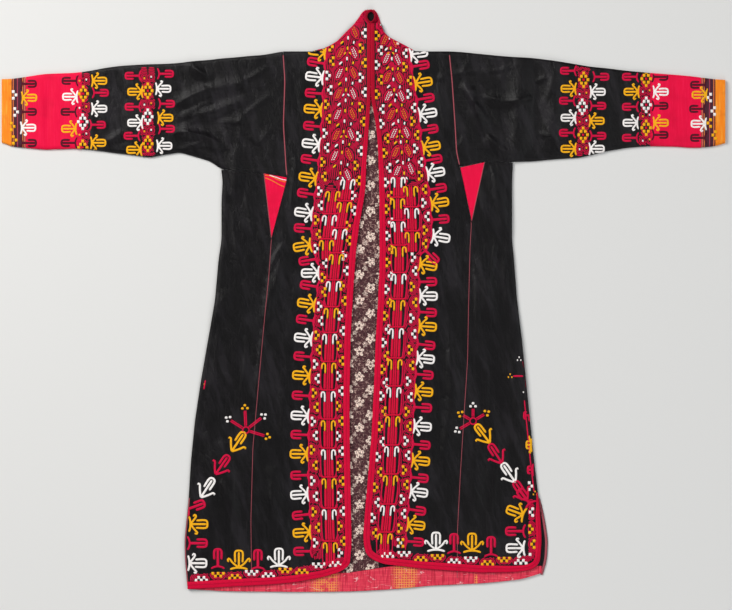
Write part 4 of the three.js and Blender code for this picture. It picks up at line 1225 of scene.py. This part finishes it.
def sewn(name, runs, made_of):
    """One mesh out of many runs of stitching: each a low bead that follows the cloth under it."""
    across = np.array([-1, -0.64, 0, 0.64, 1.0])
    bulge = np.array([0, 0.74, 1, 0.74, 0])
    points, uvs, faces, start = [], [], [], 0
    for line, wide, high, blunt in runs:
        line, run = resample(line, min(STITCH_STEP, wide * 0.75))
        if run[-1] < 1.0:
            continue
        ahead = heading(line)
        from_end = np.minimum(run, run[-1] - run) + wide * 0.12
        taper = np.sqrt(1 - np.clip(1 - from_end / (wide * 0.5), 0, 1) ** 2)
        if blunt:
            taper = np.ones(len(line))
        reach = wide / 2 * taper[:, None] * across
        x, y = line[:, :1] - ahead[:, 1:] * reach, line[:, 1:] + ahead[:, :1] * reach
        lift = high * (0.35 + 0.65 * taper[:, None]) * bulge - 0.3
        points.append(stacked(x, y, lift).reshape(-1, 3))
        uvs.append(stacked(run[:, None] * MM, across / 2 + 0.5).reshape(-1, 2))
        index = start + np.arange(x.size).reshape(x.shape)
        beside = np.roll(index, -1, 1)
        faces += stacked(index[:-1], index[1:], beside[1:], beside[:-1]).reshape(-1, 4).tolist()
        faces += [index[0].tolist(), index[-1, ::-1].tolist()]
        start += x.size
    points = np.concatenate(points)
    points[:, 2] += surface(*points[:, :2].T)
    return finish(name, points, faces, made_of, np.concatenate(uvs))


def lapel_row(threads, key):
    """The outer row of palmettes and combs along a lapel."""
    lapel, sign = LAPELS[key], SIDES[key]["sign"]
    for i, y in enumerate(lapel["row"]):
        kind = lapel["row_kinds"][i % 4]
        # Each motif leans with the line that it stands on, and one comb at a corner of that line leans far over.
        slope = float(base_x(key, y + 20) - base_x(key, y - 20)) / 40
        turn = (0 if sign > 0 else 180) - math.degrees(min(max(1.6 * slope, -0.16), 0.16))
        if (key, y) == ("left", 100.5):
            turn -= 35
        strokes, colour = (COMB, "crimson") if kind == "comb" else (PALMETTE, kind)
        threads.motif(strokes, colour, float(base_x(key, y)), y, turn, flip=-sign)


def ladders(threads, key):
    """The ladder up the middle of a lapel, with a pair of hooks under every bar."""
    for i, (high, low) in enumerate(rungs(key)):
        ladder_cell(threads, lambda y: ladder_x(key, "ladder", y), high, low, ("white", "yellow")[i % 2], i > 0)
    for i, ((high, low), (_, colour)) in enumerate(zip(second_rungs(key), LAPELS[key]["second_hooks"])):
        ladder_cell(threads, lambda y: ladder_x(key, "second", y), high, low, colour, i > 0)


def rungs(key):
    """The upper and the lower end of every rung of a lapel's ladder."""
    bars = (*LAPELS[key]["bars"], LAPELS[key]["bars"][-1] - 50)
    return list(zip(bars, bars[1:]))


def second_rungs(key):
    """The same of the short second ladder, whose bars lie a little over its hooks."""
    bars = [high + 4 for high, _ in LAPELS[key]["second_hooks"]]
    return list(zip(bars, (*bars[1:], bars[-1] - 44)))


def ladder_cell(threads, centre, high, low, colour, barred):
    """One rung: a bar, the pair of hooks that hang under it, and bands of satin between dark slots."""
    if barred:
        x = float(centre(high))
        bar = [(-17, 3.2), (-13, -0.2), (0, 0.4), (13, -0.2), (17, 3.2)]
        threads.run("scarlet", curved([(x + u, high + v) for u, v in bar]), 3.8, 1.25)
    full, lower = np.linspace(high - 2, low + 1, 12), np.linspace(high - 23, low + 2, 6)
    bulge = 13.9 + 1.8 * np.sin(np.pi * (high - full) / (high - low)) ** 0.8
    hook_out, hook_up = curved(HOOK[0]).T
    for side in (-1, 1):
        for stitch, out, heights, wide, thick in (
                ("scarlet", 2.0, full, 3.9, 1.0), ("scarlet", 7.2, lower, 5.6, 0.95),
                ("crimson", bulge, full, 2.4, 0.9), (colour, hook_out, high + hook_up, HOOK[1], 1.35)):
            threads.run(stitch, stacked(centre(heights) + side * out, heights), wide, thick)


def checker_columns(threads, key):
    """The zigzag columns of checkers on both sides of a lapel. Returns their middles."""
    lapel, sign = LAPELS[key], SIDES[key]["sign"]
    seeds = []
    for column, inward in (("inner_checkers", 1), ("outer_checkers", -1)):
        known, colours = lapel[column]
        numbers, heights = zip(*known)
        for i in range(numbers[0], numbers[-1] + 1):
            y = float(np.interp(i, numbers, heights))
            if y > HIGHEST_CHECKER:
                continue
            # Of each pair of checkers, one stands nearer to the ladder.
            near = (i % 2 == 0) == (inward > 0)
            if inward > 0:
                x = float(edging_x(key, y)) + sign * (9.6 if near else 4.6)
            else:
                x = float(base_x(key, y)) - sign * (12.6 if near else 8.2)
            facing = sign * inward * (-1 if near else 1)
            threads.checker(colours[i % 4], x, y, facing)
            seeds.append((x, y, *CHECKER_ROOM))
    return seeds


def leaf_columns(threads, key):
    """Leaves of open stitching in two columns at the top of a lapel, with dashes between them."""
    lapel, sign = LAPELS[key], SIDES[key]["sign"]
    seeds, dashes = [], []
    light = ("yellow", "white")

    def at(t, y):
        return float(lerp(edging_x(key, y), base_x(key, y), t))

    for t, top, pitch, count in lapel["leaves"]:
        for i in range(-1, count):
            y = top - i * pitch
            if not LEAF_FOOT - 8 <= y <= HIGHEST_LEAF:
                continue
            x = at(t, y)
            tilt = math.radians(23) * (1 if (t < 0.5) == (sign < 0) else -1)
            leaf(threads, ("orange", "white")[i % 2], x, y, tilt)
            seeds.append((x, y, 6.2, 13.4, tilt, 1.5))
            # The dash that lies aslant between one leaf and the next.
            y -= pitch / 2
            x = at(t + (0.02 if t < 0.5 else -0.02), y)
            if y > LEAF_FOOT:
                c, s = math.cos(tilt + math.radians(90)), math.sin(tilt + math.radians(90))
                dash = [(x - 3.2 * c - 1.8 * s, y - 3.2 * s), (x + 3.2 * c + 1.8 * s, y + 3.2 * s)]
                threads.run(light[(i + 1) % 2], dash, 4.2, 1.2)
                dashes.append((x, y, 3.0, 1.7, tilt, 2.0))
    # The dashes up the middle. A pair of slanting ones hangs under every fourth.
    for i, y in enumerate(np.arange(545, LEAF_FOOT, -20.8)):
        x = at(0.475, y)
        threads.run(light[i % 2], [(x, y - 3.6), (x, y + 3.6)], 4.0, 1.2)
        dashes.append((x, y, 1.5, 3.6, 0.0, 2.0))
        for side in (-1, 1) if i % 4 == 2 else ():
            dash = [(x + side * 3.4, y - 7.6), (x + side * 6.8, y - 12.4)]
            threads.run(light[i % 8 // 4], dash, 3.8, 1.2)
            dashes.append((x + side * 5, y - 10, 1.8, 2.6, 0.0, 2.0))
    return seeds, dashes


def leaf(threads, colour, x, y, tilt):
    """A lens of nested crimson lines with short stitches in a herringbone up its spine."""
    spot = turned(x, y, tilt)
    rim = np.linspace(0, np.pi, 12)
    threads.run("crimson", [spot(0, -9), spot(0, 9)], 2.2, 0.75)
    for side in (-1, 1):
        for out, tall in ((3.3, 10.2), (6.0, 13.2)):
            threads.run("crimson", [spot(side * out * math.sin(a), tall * math.cos(a)) for a in rim], 2.1, 0.85)
        for k in range(-2, 3):
            v = k * 4.0 + side
            threads.run(colour, [spot(side * 1.2, v - 1.4), spot(side * (3.4 - 0.4 * abs(k)), v + 1.3)], 3.1, 1.6)


def reach_of(seed, angle):
    """How far a motif reaches from its middle in a direction, in its own frame."""
    wide, tall, power = seed[2], seed[3], seed[5]
    return (np.abs(np.cos(angle) / wide) ** power + np.abs(np.sin(angle) / tall) ** power) ** (-1 / power)


def distance(seed, x, y):
    """How far outside the room that a motif takes up a point lies."""
    dx, dy = x - seed[0], y - seed[1]
    return np.hypot(dx, dy) - reach_of(seed, np.arctan2(dy, dx) - seed[4])


def filler(threads, seeds, inside, gap=3.0, wide=2.35, rows=9):
    """Crimson rows of stitching round each motif, out to where the next motif's rows begin."""
    seeds = np.array(seeds)
    angles = np.linspace(0, 2 * np.pi, 57)
    depths = gap * (np.arange(rows) + 0.55)
    for i, seed in enumerate(seeds):
        radius = reach_of(seed, angles)[None, :] + depths[:, None]
        x = seed[0] + radius * np.cos(angles + seed[4])
        y = seed[1] + radius * np.sin(angles + seed[4])
        near = np.flatnonzero(np.hypot(seeds[:, 0] - seed[0], seeds[:, 1] - seed[1]) < NEIGHBOURS)
        kept = inside(x, y)
        for j in near[near != i]:
            kept &= distance(seeds[j], x, y) > depths[:, None] + (0.9 if j < i else 0.3)
        for line, keep in zip(stacked(x, y), kept):
            if keep.any() and not keep.all():
                # A broken row starts at a break, so that no stretch of it is cut in two.
                turn = int(np.argmin(keep))
                line, keep = np.roll(line[:-1], -turn, 0), np.roll(keep[:-1], -turn)
            for part in stretches(line, keep):
                if len(part) > 2:
                    threads.run("crimson", part, wide, 0.75, False)


def upright_rows(threads, key, seeds, inside):
    """Swaying rows of stitching down the top of a lapel, broken where they meet a motif."""
    heights = np.arange(580.5, LEAF_FOOT - 14, -1.5)
    for t in np.linspace(0.01, 0.985, 27):
        sway = 1.5 * np.sin(2 * np.pi * (heights + 90 * t) / 41)
        x = lerp(edging_x(key, heights), base_x(key, heights), t) + sway
        kept = inside(x, heights) & (heights > LEAF_FOOT - 12)
        for seed in seeds:
            if abs(seed[0] - x.mean()) < NEIGHBOURS:
                kept &= distance(seed, x, heights) > 0.9
        for part in stretches(stacked(x, heights), kept):
            if len(part) > 2:
                threads.run("crimson", part, 2.3, 0.75, False)


def lapel_ground(threads, key, checkers, leaves, dashes):
    """The crimson rows that fill a lapel between its motifs."""
    sign = SIDES[key]["sign"]
    rooms = []
    for which, pairs, down, wide, more in (
            ("ladder", rungs(key), 1, 15.2, 1), ("second", second_rungs(key), 2, 14.8, 0)):
        for high, low in pairs:
            middle = (high + low) / 2 - down
            rooms.append((float(ladder_x(key, which, middle)), middle, wide, (high - low) / 2 + more, 0.0, 3.0))

    def inside(x, y):
        beyond = sign * (x - edging_x(key, y)) > 1.0
        within = sign * (base_x(key, y) - x) > -0.5
        foot = y > read(SIDES[key]["hem"], "x", "y", x) + HEM_BRAID + 22
        eye = np.hypot((x - EYE_X) / 15, (y - 568) / 18) < 1
        return beyond & within & foot & ~eye & (edge_depth(x, y) > 1.0)

    upper = [seed for seed in checkers if seed[1] > LEAF_FOOT - 14]
    lower = [seed for seed in checkers if seed[1] < LEAF_FOOT + 20]
    filler(threads, lower + rooms, lambda x, y: inside(x, y) & (y < LEAF_FOOT - 10))
    filler(threads, upper + leaves, lambda x, y: inside(x, y) & (y > LEAF_FOOT - 12), gap=2.7, wide=2.1, rows=1)
    grown = [(x, y, wide + 2.6, tall + 2.6, tilt, power) for x, y, wide, tall, tilt, power in upper + leaves]
    upright_rows(threads, key, grown + dashes, inside)
    # Two rows round the eye, one along the edge of the collar and the rail that the outer row stands on.
    for off, end in ((1.3, 66), (3.7, 48)):
        around = np.radians(np.linspace(-88, end, 36))
        up = (14.4 + off) * np.sin(around)
        out = (10.4 + off) * np.cos(around) * (1 - 0.42 * np.maximum(-up / EYE_TALL, 0) ** 1.5)
        threads.run("crimson", stacked(EYE_X + sign * out, EYE_Y + up), 2.3, 0.8)
    heights = np.linspace(COLLAR_FOOT + 2, COLLAR_TOP, 40)
    threads.run("crimson", stacked(collar_x(key, heights) - sign * 1.5, heights), 2.3, 0.75)
    heights = np.arange(545, -500, -3.0)
    threads.run("crimson", stacked(base_x(key, heights), heights), 2.4, 0.9)


def embroider_lapels(colours):
    """Everything stitched on the lapels, one after the other."""
    for key in SIDES:
        threads = Threads()
        lapel_row(threads, key)
        ladders(threads, key)
        leaves, dashes = leaf_columns(threads, key)
        lapel_ground(threads, key, checker_columns(threads, key), leaves, dashes)
        threads.sew(f"lapel_{key}", colours)


def embroider_sleeves(colours):
    """The bands across the sleeves, from their tables."""
    for key, rows in SLEEVES:
        threads = Threads()
        for kind, turn, members in rows:
            for x, y, colour in members:
                if kind == "checker":
                    threads.checker(colour, x, y, 1 if key == "right" else -1)
                elif kind == "diamond":
                    diamond(threads, colour, x, y)
                else:
                    strokes = COMB if colour in ("crimson", "plum") else PALMETTE
                    flip = 1 if turn == 180 else -1
                    threads.motif(strokes, colour, x, y, turn, 0.84, flip, MOTIF_MIDDLE)
        sleeve_bands(threads, rows[0][2])
        threads.sew(f"sleeve_{key}", colours)


def diamond(threads, colour, x, y):
    """A square set on its corner, of eight blocks of stitching round a crimson one."""
    corners = [(-8.6, 0), (8.6, 0), (0, -13.4), (0, 13.4)]
    for u, v in corners + [(u, v) for v in (-6.9, 6.9) for u in (-4.3, 4.3)]:
        threads.square(colour, x + u, y + v, 6.3)
    threads.square("scarlet", x, y, 5.0)


def sleeve_bands(threads, diamonds):
    """The crimson ground of a band, worked round its diamonds, with a white and a yellow dot between each two."""
    for middle in sorted({round(x / 50) for x, _, _ in diamonds}):
        column = sorted((y, x) for x, y, _ in diamonds if round(x / 50) == middle)
        heights, x = [y for y, _ in column], sum(u for _, u in column) / len(column)
        pitch = (heights[-1] - heights[0]) / (len(column) - 1)
        seeds = [(u, v, 9.4, 14.6, 0.0, 1.2) for v, u in column]
        for i in range(len(column) + 1):
            y = heights[0] + (i - 0.5) * pitch
            for out, colour in ((-6.8, ("white", "yellow")[i % 2]), (6.8, ("yellow", "white")[i % 2])):
                if edge_depth(x + out, y) > 5:
                    threads.dot(colour, x + out, y + 0.2 * out, 5.4, 1.5)
                seeds.append((x + out, y, 2.0, 3.2, 0.0, 2.0))

        def inside(u, v):
            near = np.min([np.abs(v - y) for y in heights], 0)
            return (np.abs(u - x) < 10.5 + 4.5 * smooth(near, 6, 20)) & (edge_depth(u, v) > 3)

        filler(threads, seeds, inside, rows=6)


def embroider_skirt(colours):
    """Everything stitched below the lapels, as one part of the garment."""
    threads = Threads()
    shapes = {"comb": COMB, "wide": WIDE_PALMETTE, "palmette": PALMETTE}
    for kind, x, y, turn, colour in SKIRT:
        threads.motif(shapes[kind], colour, x, y, turn, 1.04, 1, MOTIF_MIDDLE)
    for (x, y, tips), chain in zip(STARS, CHAINS):
        star(threads, x, y, tips)
        links = [(u, v) for u, v, _ in chain] + [(x, y)]
        for (u, v, colour), (nx, ny) in zip(chain, links[1:]):
            threads.motif(ANCHOR, colour, u, v, math.degrees(math.atan2(ny - v, nx - u)), 1.12, 1, 20)
    hem_checkers(threads)
    edge_column(threads)
    for colour, line in WEDGE_STRIPES:
        threads.run(colour, curved(line), 2.0, 0.7)
    threads.sew("skirt", colours)


def star(threads, x, y, tips):
    """A ring with a double ray to each tip, and three dots at the end of every ray."""
    ring = np.linspace(0, 2 * np.pi, 25)
    threads.run("crimson", stacked(x + 6.5 * np.cos(ring), y + 6.5 * np.sin(ring)), 3.4)
    for u, v, colour in tips:
        far = math.hypot(u - x, v - y)
        du, dv = (u - x) / far, (v - y) / far
        ray = lambda along, out: (x + along * du - out * dv, y + along * dv + out * du)
        for side in (-1.6, 1.6):
            threads.run("crimson", [ray(8, side), ray(far - 9, side)], 3.0)
        for along, out in ((1.5, 0), (-4.5, -5.0), (-4.5, 5.0)):
            threads.dot(colour, *ray(far + along, out), 6.8, 1.2)


def hem_checkers(threads):
    """The row of checkers over the edging of the hem, in pairs of white and yellow."""
    for key, side in SIDES.items():
        sign = side["sign"]
        start, pitch = (-56, -33.5) if sign < 0 else (48, 33.3)
        seeds = []
        for i in range(9):
            x = start + i * pitch
            y = float(hem_y(key, x)) + (19.2, 25.4)[i % 2]
            threads.checker(("white", "white", "yellow", "yellow")[i % 4], x, y, (1, -1)[i % 2], False)
            seeds.append((x, y, *HEM_CHECKER_ROOM))

        def inside(x, y):
            above = y - read(side["hem"], "x", "y", x) - HEM_BRAID
            return (above > 0.8) & (above < 15.5) & (edge_depth(x, y) > 2)

        filler(threads, seeds, inside, rows=5)


def edge_column(threads):
    """The small ornament up the left side seam from the slit, and a dot at the other side."""
    for x, y, colour in (
            (311, -117.5, "white"), (293, -151.5, "yellow"), (323, -181.5, "white"), (343, -386, "yellow")):
        for u, v in ((-3.4, -2.2), (3.4, -2.2), (0, 3.6)):
            threads.dot(colour, x + u, y + v, 4.6)
    threads.run("crimson", [(299, -151.5), (320, -151.5)], 4.2)
    threads.run("crimson", [(318, -121), (322, -150), (325, -176)], 3.2)
    for x, y, colour in ((326, -230, "crimson"), (331, -289, "yellow"), (333.5, -339, "crimson")):
        strokes = COMB if colour == "crimson" else PALMETTE
        threads.motif(strokes, colour, x, y, 180, 0.95, 1, MOTIF_MIDDLE, narrow=0.3)
    threads.checker("white", 334, -371.5, 1)
    seeds = []
    for x, y, colour, facing in (
            (335.5, -423.5, "white", -1), (335, -457.5, "yellow", 1), (338.5, -487.5, "yellow", -1)):
        threads.checker(colour, x, y, facing)
        seeds.append((x, y, *CHECKER_ROOM))
    threads.square("white", 333, -508)

    def inside(x, y):
        return (x > 329.5) & (x < outline_x("left", y) - 11) & (y > -516) & (y < -396)

    filler(threads, seeds, inside)
    threads.dot("yellow", -318, -168, 4.4)
    threads.run("crimson", [(-316, -160), (-319, -178)], 3.2)
    rail = np.arange(-200, -386, -3.0)
    threads.run("crimson", stacked(outline_x("left", rail) - 7.5, rail), 3.0, 0.9)


def piping(silk):
    """The pink piping let into the body seams."""
    runs = []
    for key, side in SIDES.items():
        (tip_x, tip_y), (corner_x, corner_y) = side["gusset_tip"], side["gusset_corner"]
        upper = np.arange(490, side["sleeve"]["bottom"][0] + 2, -3.0)
        lower = np.arange(tip_y - 2, -556, -3.0)
        t = np.linspace(0, 1, 30)
        if side["back"]:
            edge_y = np.arange(SLIT_TOP - 8, -552, -3.0)
            edge = read(side["back"], "y", "x", edge_y) - 3, edge_y, 5.5, 1.0
        else:
            edge_y = np.arange(-395, -574, -3.0)
            edge = outline_x(key, edge_y) + 1.6, edge_y, 2.6, 0.9
        for x, y, wide, high in (
                (seam_x(key, upper), upper, 2.6, 1.1), (seam_x(key, lower), lower, 1.4, 1.1), edge,
                (lerp(tip_x, corner_x, t), lerp(tip_y, corner_y, t), 1.8, 0.9)):
            runs.append((stacked(x, y), wide, high, False))
    return place(sewn("seam_piping", runs, silk))


# ---- The add-on ----
def screen_colour(name, colour, about):
    return FloatVectorProperty(
        name=name, description=about, default=colour, min=0, max=1, size=3, subtype="COLOR_GAMMA")


class MantleColours(bpy.types.PropertyGroup):
    dark_silk: screen_colour("Ground silk", (0.036, 0.030, 0.038), "Black silk of the body and the sleeves")
    red_silk: screen_colour("Red silk", (0.90, 0.0, 0.24), "Silk of the forearms and the wedges under the arms")
    striped_silk: screen_colour("Striped silk", (0.26, 0.11, 0.18), "Ground of the striped cuffs")
    yellow_silk: screen_colour("Yellow silk", (0.97, 0.53, 0.07), "Binding at the wrists")
    braid: screen_colour("Edging", (0.86, 0.0, 0.22), "Looped braid round the edges")
    lining: screen_colour("Lining", (0.30, 0.17, 0.19), "Ground of the printed lining")
    facing: screen_colour("Facing", (0.87, 0.22, 0.32), "Cotton inside the back hem")
    white: screen_colour("White thread", (1.0, 0.98, 0.97), "Undyed silk thread")
    yellow: screen_colour("Yellow thread", (1.0, 0.72, 0.08), "Yellow silk thread")
    orange: screen_colour("Orange thread", (0.97, 0.56, 0.12), "Orange silk thread")
    crimson: screen_colour("Crimson thread", (0.84, 0.0, 0.25), "Crimson silk thread")
    plum: screen_colour("Plum thread", (0.33, 0.05, 0.13), "Dark plum silk thread")
    piping: screen_colour("Piping", (0.66, 0.32, 0.36), "Pink piping along the body seams")
    floor: screen_colour("Floor", (0.86, 0.86, 0.855), "Table that the mantle lies on")


class MantleSizes(bpy.types.PropertyGroup):
    camera_height: FloatProperty(
        name="Camera height", description="How far above the table the camera hangs", default=8.0, min=2, max=20,
        unit="LENGTH")
    frame_wide: FloatProperty(
        name="Frame width", description="Width of table that the camera sees", default=1.464, min=0.5, max=5,
        unit="LENGTH")
    floor_wide: FloatProperty(
        name="Floor width", description="Width of the plain floor", default=16.0, min=3, max=60, unit="LENGTH")


class PieceOperator:
    """What every operator here shares."""
    bl_options = {"REGISTER", "UNDO"}

    @staticmethod
    def colours():
        return bpy.context.scene.mantle_colours


class MANTLE_OT_body(PieceOperator, bpy.types.Operator):
    """Cut and lay out the back, the two fronts, the side panels and the wedges under the arms"""
    bl_idname = "mantle.body"
    bl_label = "Body"

    def execute(self, context):
        ground = material("Dark silk", dark_silk, self.colours())
        red = material("Red silk", red_silk, self.colours())
        back_panel(ground)
        for key in SIDES:
            front(key, ground)
            side_panel(key, ground)
            gusset(key, red)
        return {"FINISHED"}


class MANTLE_OT_sleeves(PieceOperator, bpy.types.Operator):
    """Fold the sleeves along their upper edge, from the armhole to the bound wrist"""
    bl_idname = "mantle.sleeves"
    bl_label = "Sleeves"

    def execute(self, context):
        colours = self.colours()
        ground = material("Sleeve silk", dark_silk, colours, False)
        for key, side in SIDES.items():
            inset, end = side["sign"] * SEAM, side["sign"] * SPAN / 2
            forearm, cuff, binding = side["forearm"], side["cuff"], end - side["sign"] * BINDING
            for label, start, stop, silk, slot, node, flat, area, thick in (
                    ("sleeve_silk", side["sleeve"]["x"][0], forearm - inset, ground, "dark_silk", "sleeve",
                     (0.40, 0.46), 0.168, WALL),
                    ("forearm_silk", forearm + inset, cuff - inset, material("Red silk", red_silk, colours),
                     "red_silk", "forearm", (0.11, 0.32), 0.033, WALL),
                    ("cuff_silk", cuff + inset, binding - inset, material("Striped silk", striped_silk, colours),
                     "striped_silk", "cuff", (0.028, 0.30), 0.008, WALL),
                    ("wrist_binding", binding + inset, end, material("Yellow silk", yellow_silk, colours),
                     "yellow_silk", "cuff_binding", (0.02, 0.29), 0.0056, BINDING_THICK)):
                sleeve_part(f"{label}_{key}", key, start, stop, silk, f"{node}_{key}", thick)
        return {"FINISHED"}


class MANTLE_OT_collar(PieceOperator, bpy.types.Operator):
    """Fold the collar and work the eye at its tip"""
    bl_idname = "mantle.collar"
    bl_label = "Collar"

    def execute(self, context):
        collar(material("Dark silk", dark_silk, self.colours()))
        tip_loop(material("Crimson braid", crimson_braid, self.colours()))
        return {"FINISHED"}


class MANTLE_OT_inside(PieceOperator, bpy.types.Operator):
    """Lay the printed lining and the facing of the back hem"""
    bl_idname = "mantle.inside"
    bl_label = "Lining and facing"

    def execute(self, context):
        lining(material("Printed cotton", printed_cotton, self.colours()))
        hem_facing(material("Facing", facing_ikat, self.colours()))
        return {"FINISHED"}


class MANTLE_OT_edging(PieceOperator, bpy.types.Operator):
    """Sew the looped braid round the openings and the hem"""
    bl_idname = "mantle.edging"
    bl_label = "Edging"

    def execute(self, context):
        braid = material("Crimson braid", crimson_braid, self.colours())
        for key in SIDES:
            front_edging(key, braid)
            side_edging(key, braid)
        return {"FINISHED"}


class MANTLE_OT_lapels(PieceOperator, bpy.types.Operator):
    """Embroider both lapels: leaves at the top, ladders below them, and the row along the outside"""
    bl_idname = "mantle.lapels"
    bl_label = "Lapel embroidery"

    def execute(self, context):
        embroider_lapels(self.colours())
        return {"FINISHED"}


class MANTLE_OT_bands(PieceOperator, bpy.types.Operator):
    """Embroider the bands across the sleeves"""
    bl_idname = "mantle.bands"
    bl_label = "Sleeve embroidery"

    def execute(self, context):
        embroider_sleeves(self.colours())
        return {"FINISHED"}


class MANTLE_OT_skirt(PieceOperator, bpy.types.Operator):
    """Embroider the hem, the corners and the climbing chains, and pipe the seams"""
    bl_idname = "mantle.skirt"
    bl_label = "Skirt embroidery and piping"

    def execute(self, context):
        embroider_skirt(self.colours())
        piping(material("Piping", thread, tuple(self.colours().piping)))
        return {"FINISHED"}


class MANTLE_OT_stage(PieceOperator, bpy.types.Operator):
    """Set the pale floor, the soft lights and the camera straight above"""
    bl_idname = "mantle.stage"
    bl_label = "Stage"

    def execute(self, context):
        sizes, scene = context.scene.mantle_sizes, context.scene
        bpy.ops.object.select_all(action="DESELECT")
        bpy.ops.mesh.primitive_plane_add(size=sizes.floor_wide, location=(0, 0, -0.0005))
        floor = context.object
        floor.name = "table"
        floor.data.materials.append(material("Floor", plain_floor, tuple(self.colours().floor)))
        for name, at, turn, wide, power, warmth in (
                ("Key light", (-2.6, 2.3, 3.0), (-38, -41, 0), 2.2, 200, (1.0, 0.985, 0.96)),
                ("Fill light", (2.9, 0.4, 3.2), (-7, 42, 0), 2.6, 56, (0.97, 0.985, 1.0)),
                ("Low light", (0.3, -3.0, 2.6), (49, 6, 0), 2.4, 48, (1.0, 1.0, 1.0))):
            bpy.ops.object.light_add(type="AREA", location=at, rotation=[math.radians(a) for a in turn])
            light = context.object
            light.name = light.data.name = name
            light.data.shape, light.data.size = "SQUARE", wide
            light.data.energy, light.data.color = power, warmth
        world = bpy.data.worlds.new("Studio")
        world.use_nodes = True
        background = world.node_tree.nodes["Background"]
        background.inputs["Color"].default_value = (0.95, 0.97, 1.0, 1)
        background.inputs["Strength"].default_value = 0.11
        scene.world = world
        scene.view_settings.view_transform = "Standard"
        bpy.ops.object.camera_add(location=(0.005, -0.0095, sizes.camera_height), rotation=(0, 0, 0))
        camera = context.object
        camera.name = "Camera"
        camera.data.sensor_fit, camera.data.sensor_width = "HORIZONTAL", 36
        camera.data.lens = 36 * sizes.camera_height / sizes.frame_wide
        camera.data.clip_end = 100
        scene.camera = camera
        return {"FINISHED"}


class MANTLE_PT_panel(bpy.types.Panel):
    bl_idname = "MANTLE_PT_panel"
    bl_label = "Embroidered Mantle"
    bl_space_type = "VIEW_3D"
    bl_region_type = "UI"
    bl_category = "Mantle"

    def draw(self, context):
        layout = self.layout
        for group in (context.scene.mantle_colours, context.scene.mantle_sizes):
            box = layout.box()
            for name in group.__annotations__:
                box.prop(group, name)
        for operator in OPERATORS:
            layout.operator(operator.bl_idname)


OPERATORS = (
    MANTLE_OT_body, MANTLE_OT_sleeves, MANTLE_OT_collar, MANTLE_OT_inside, MANTLE_OT_edging,
    MANTLE_OT_lapels, MANTLE_OT_bands, MANTLE_OT_skirt, MANTLE_OT_stage)
CLASSES = (MantleColours, MantleSizes, *OPERATORS, MANTLE_PT_panel)


def register():
    for each in CLASSES:
        bpy.utils.register_class(each)
    bpy.types.Scene.mantle_colours = PointerProperty(type=MantleColours)
    bpy.types.Scene.mantle_sizes = PointerProperty(type=MantleSizes)


def unregister():
    del bpy.types.Scene.mantle_sizes
    del bpy.types.Scene.mantle_colours
    for each in reversed(CLASSES):
        bpy.utils.unregister_class(each)


def main():
    register()
    for operator in OPERATORS:
        getattr(bpy.ops.mantle, operator.bl_idname.split(".")[1])()


if __name__ == "__main__":
    main()
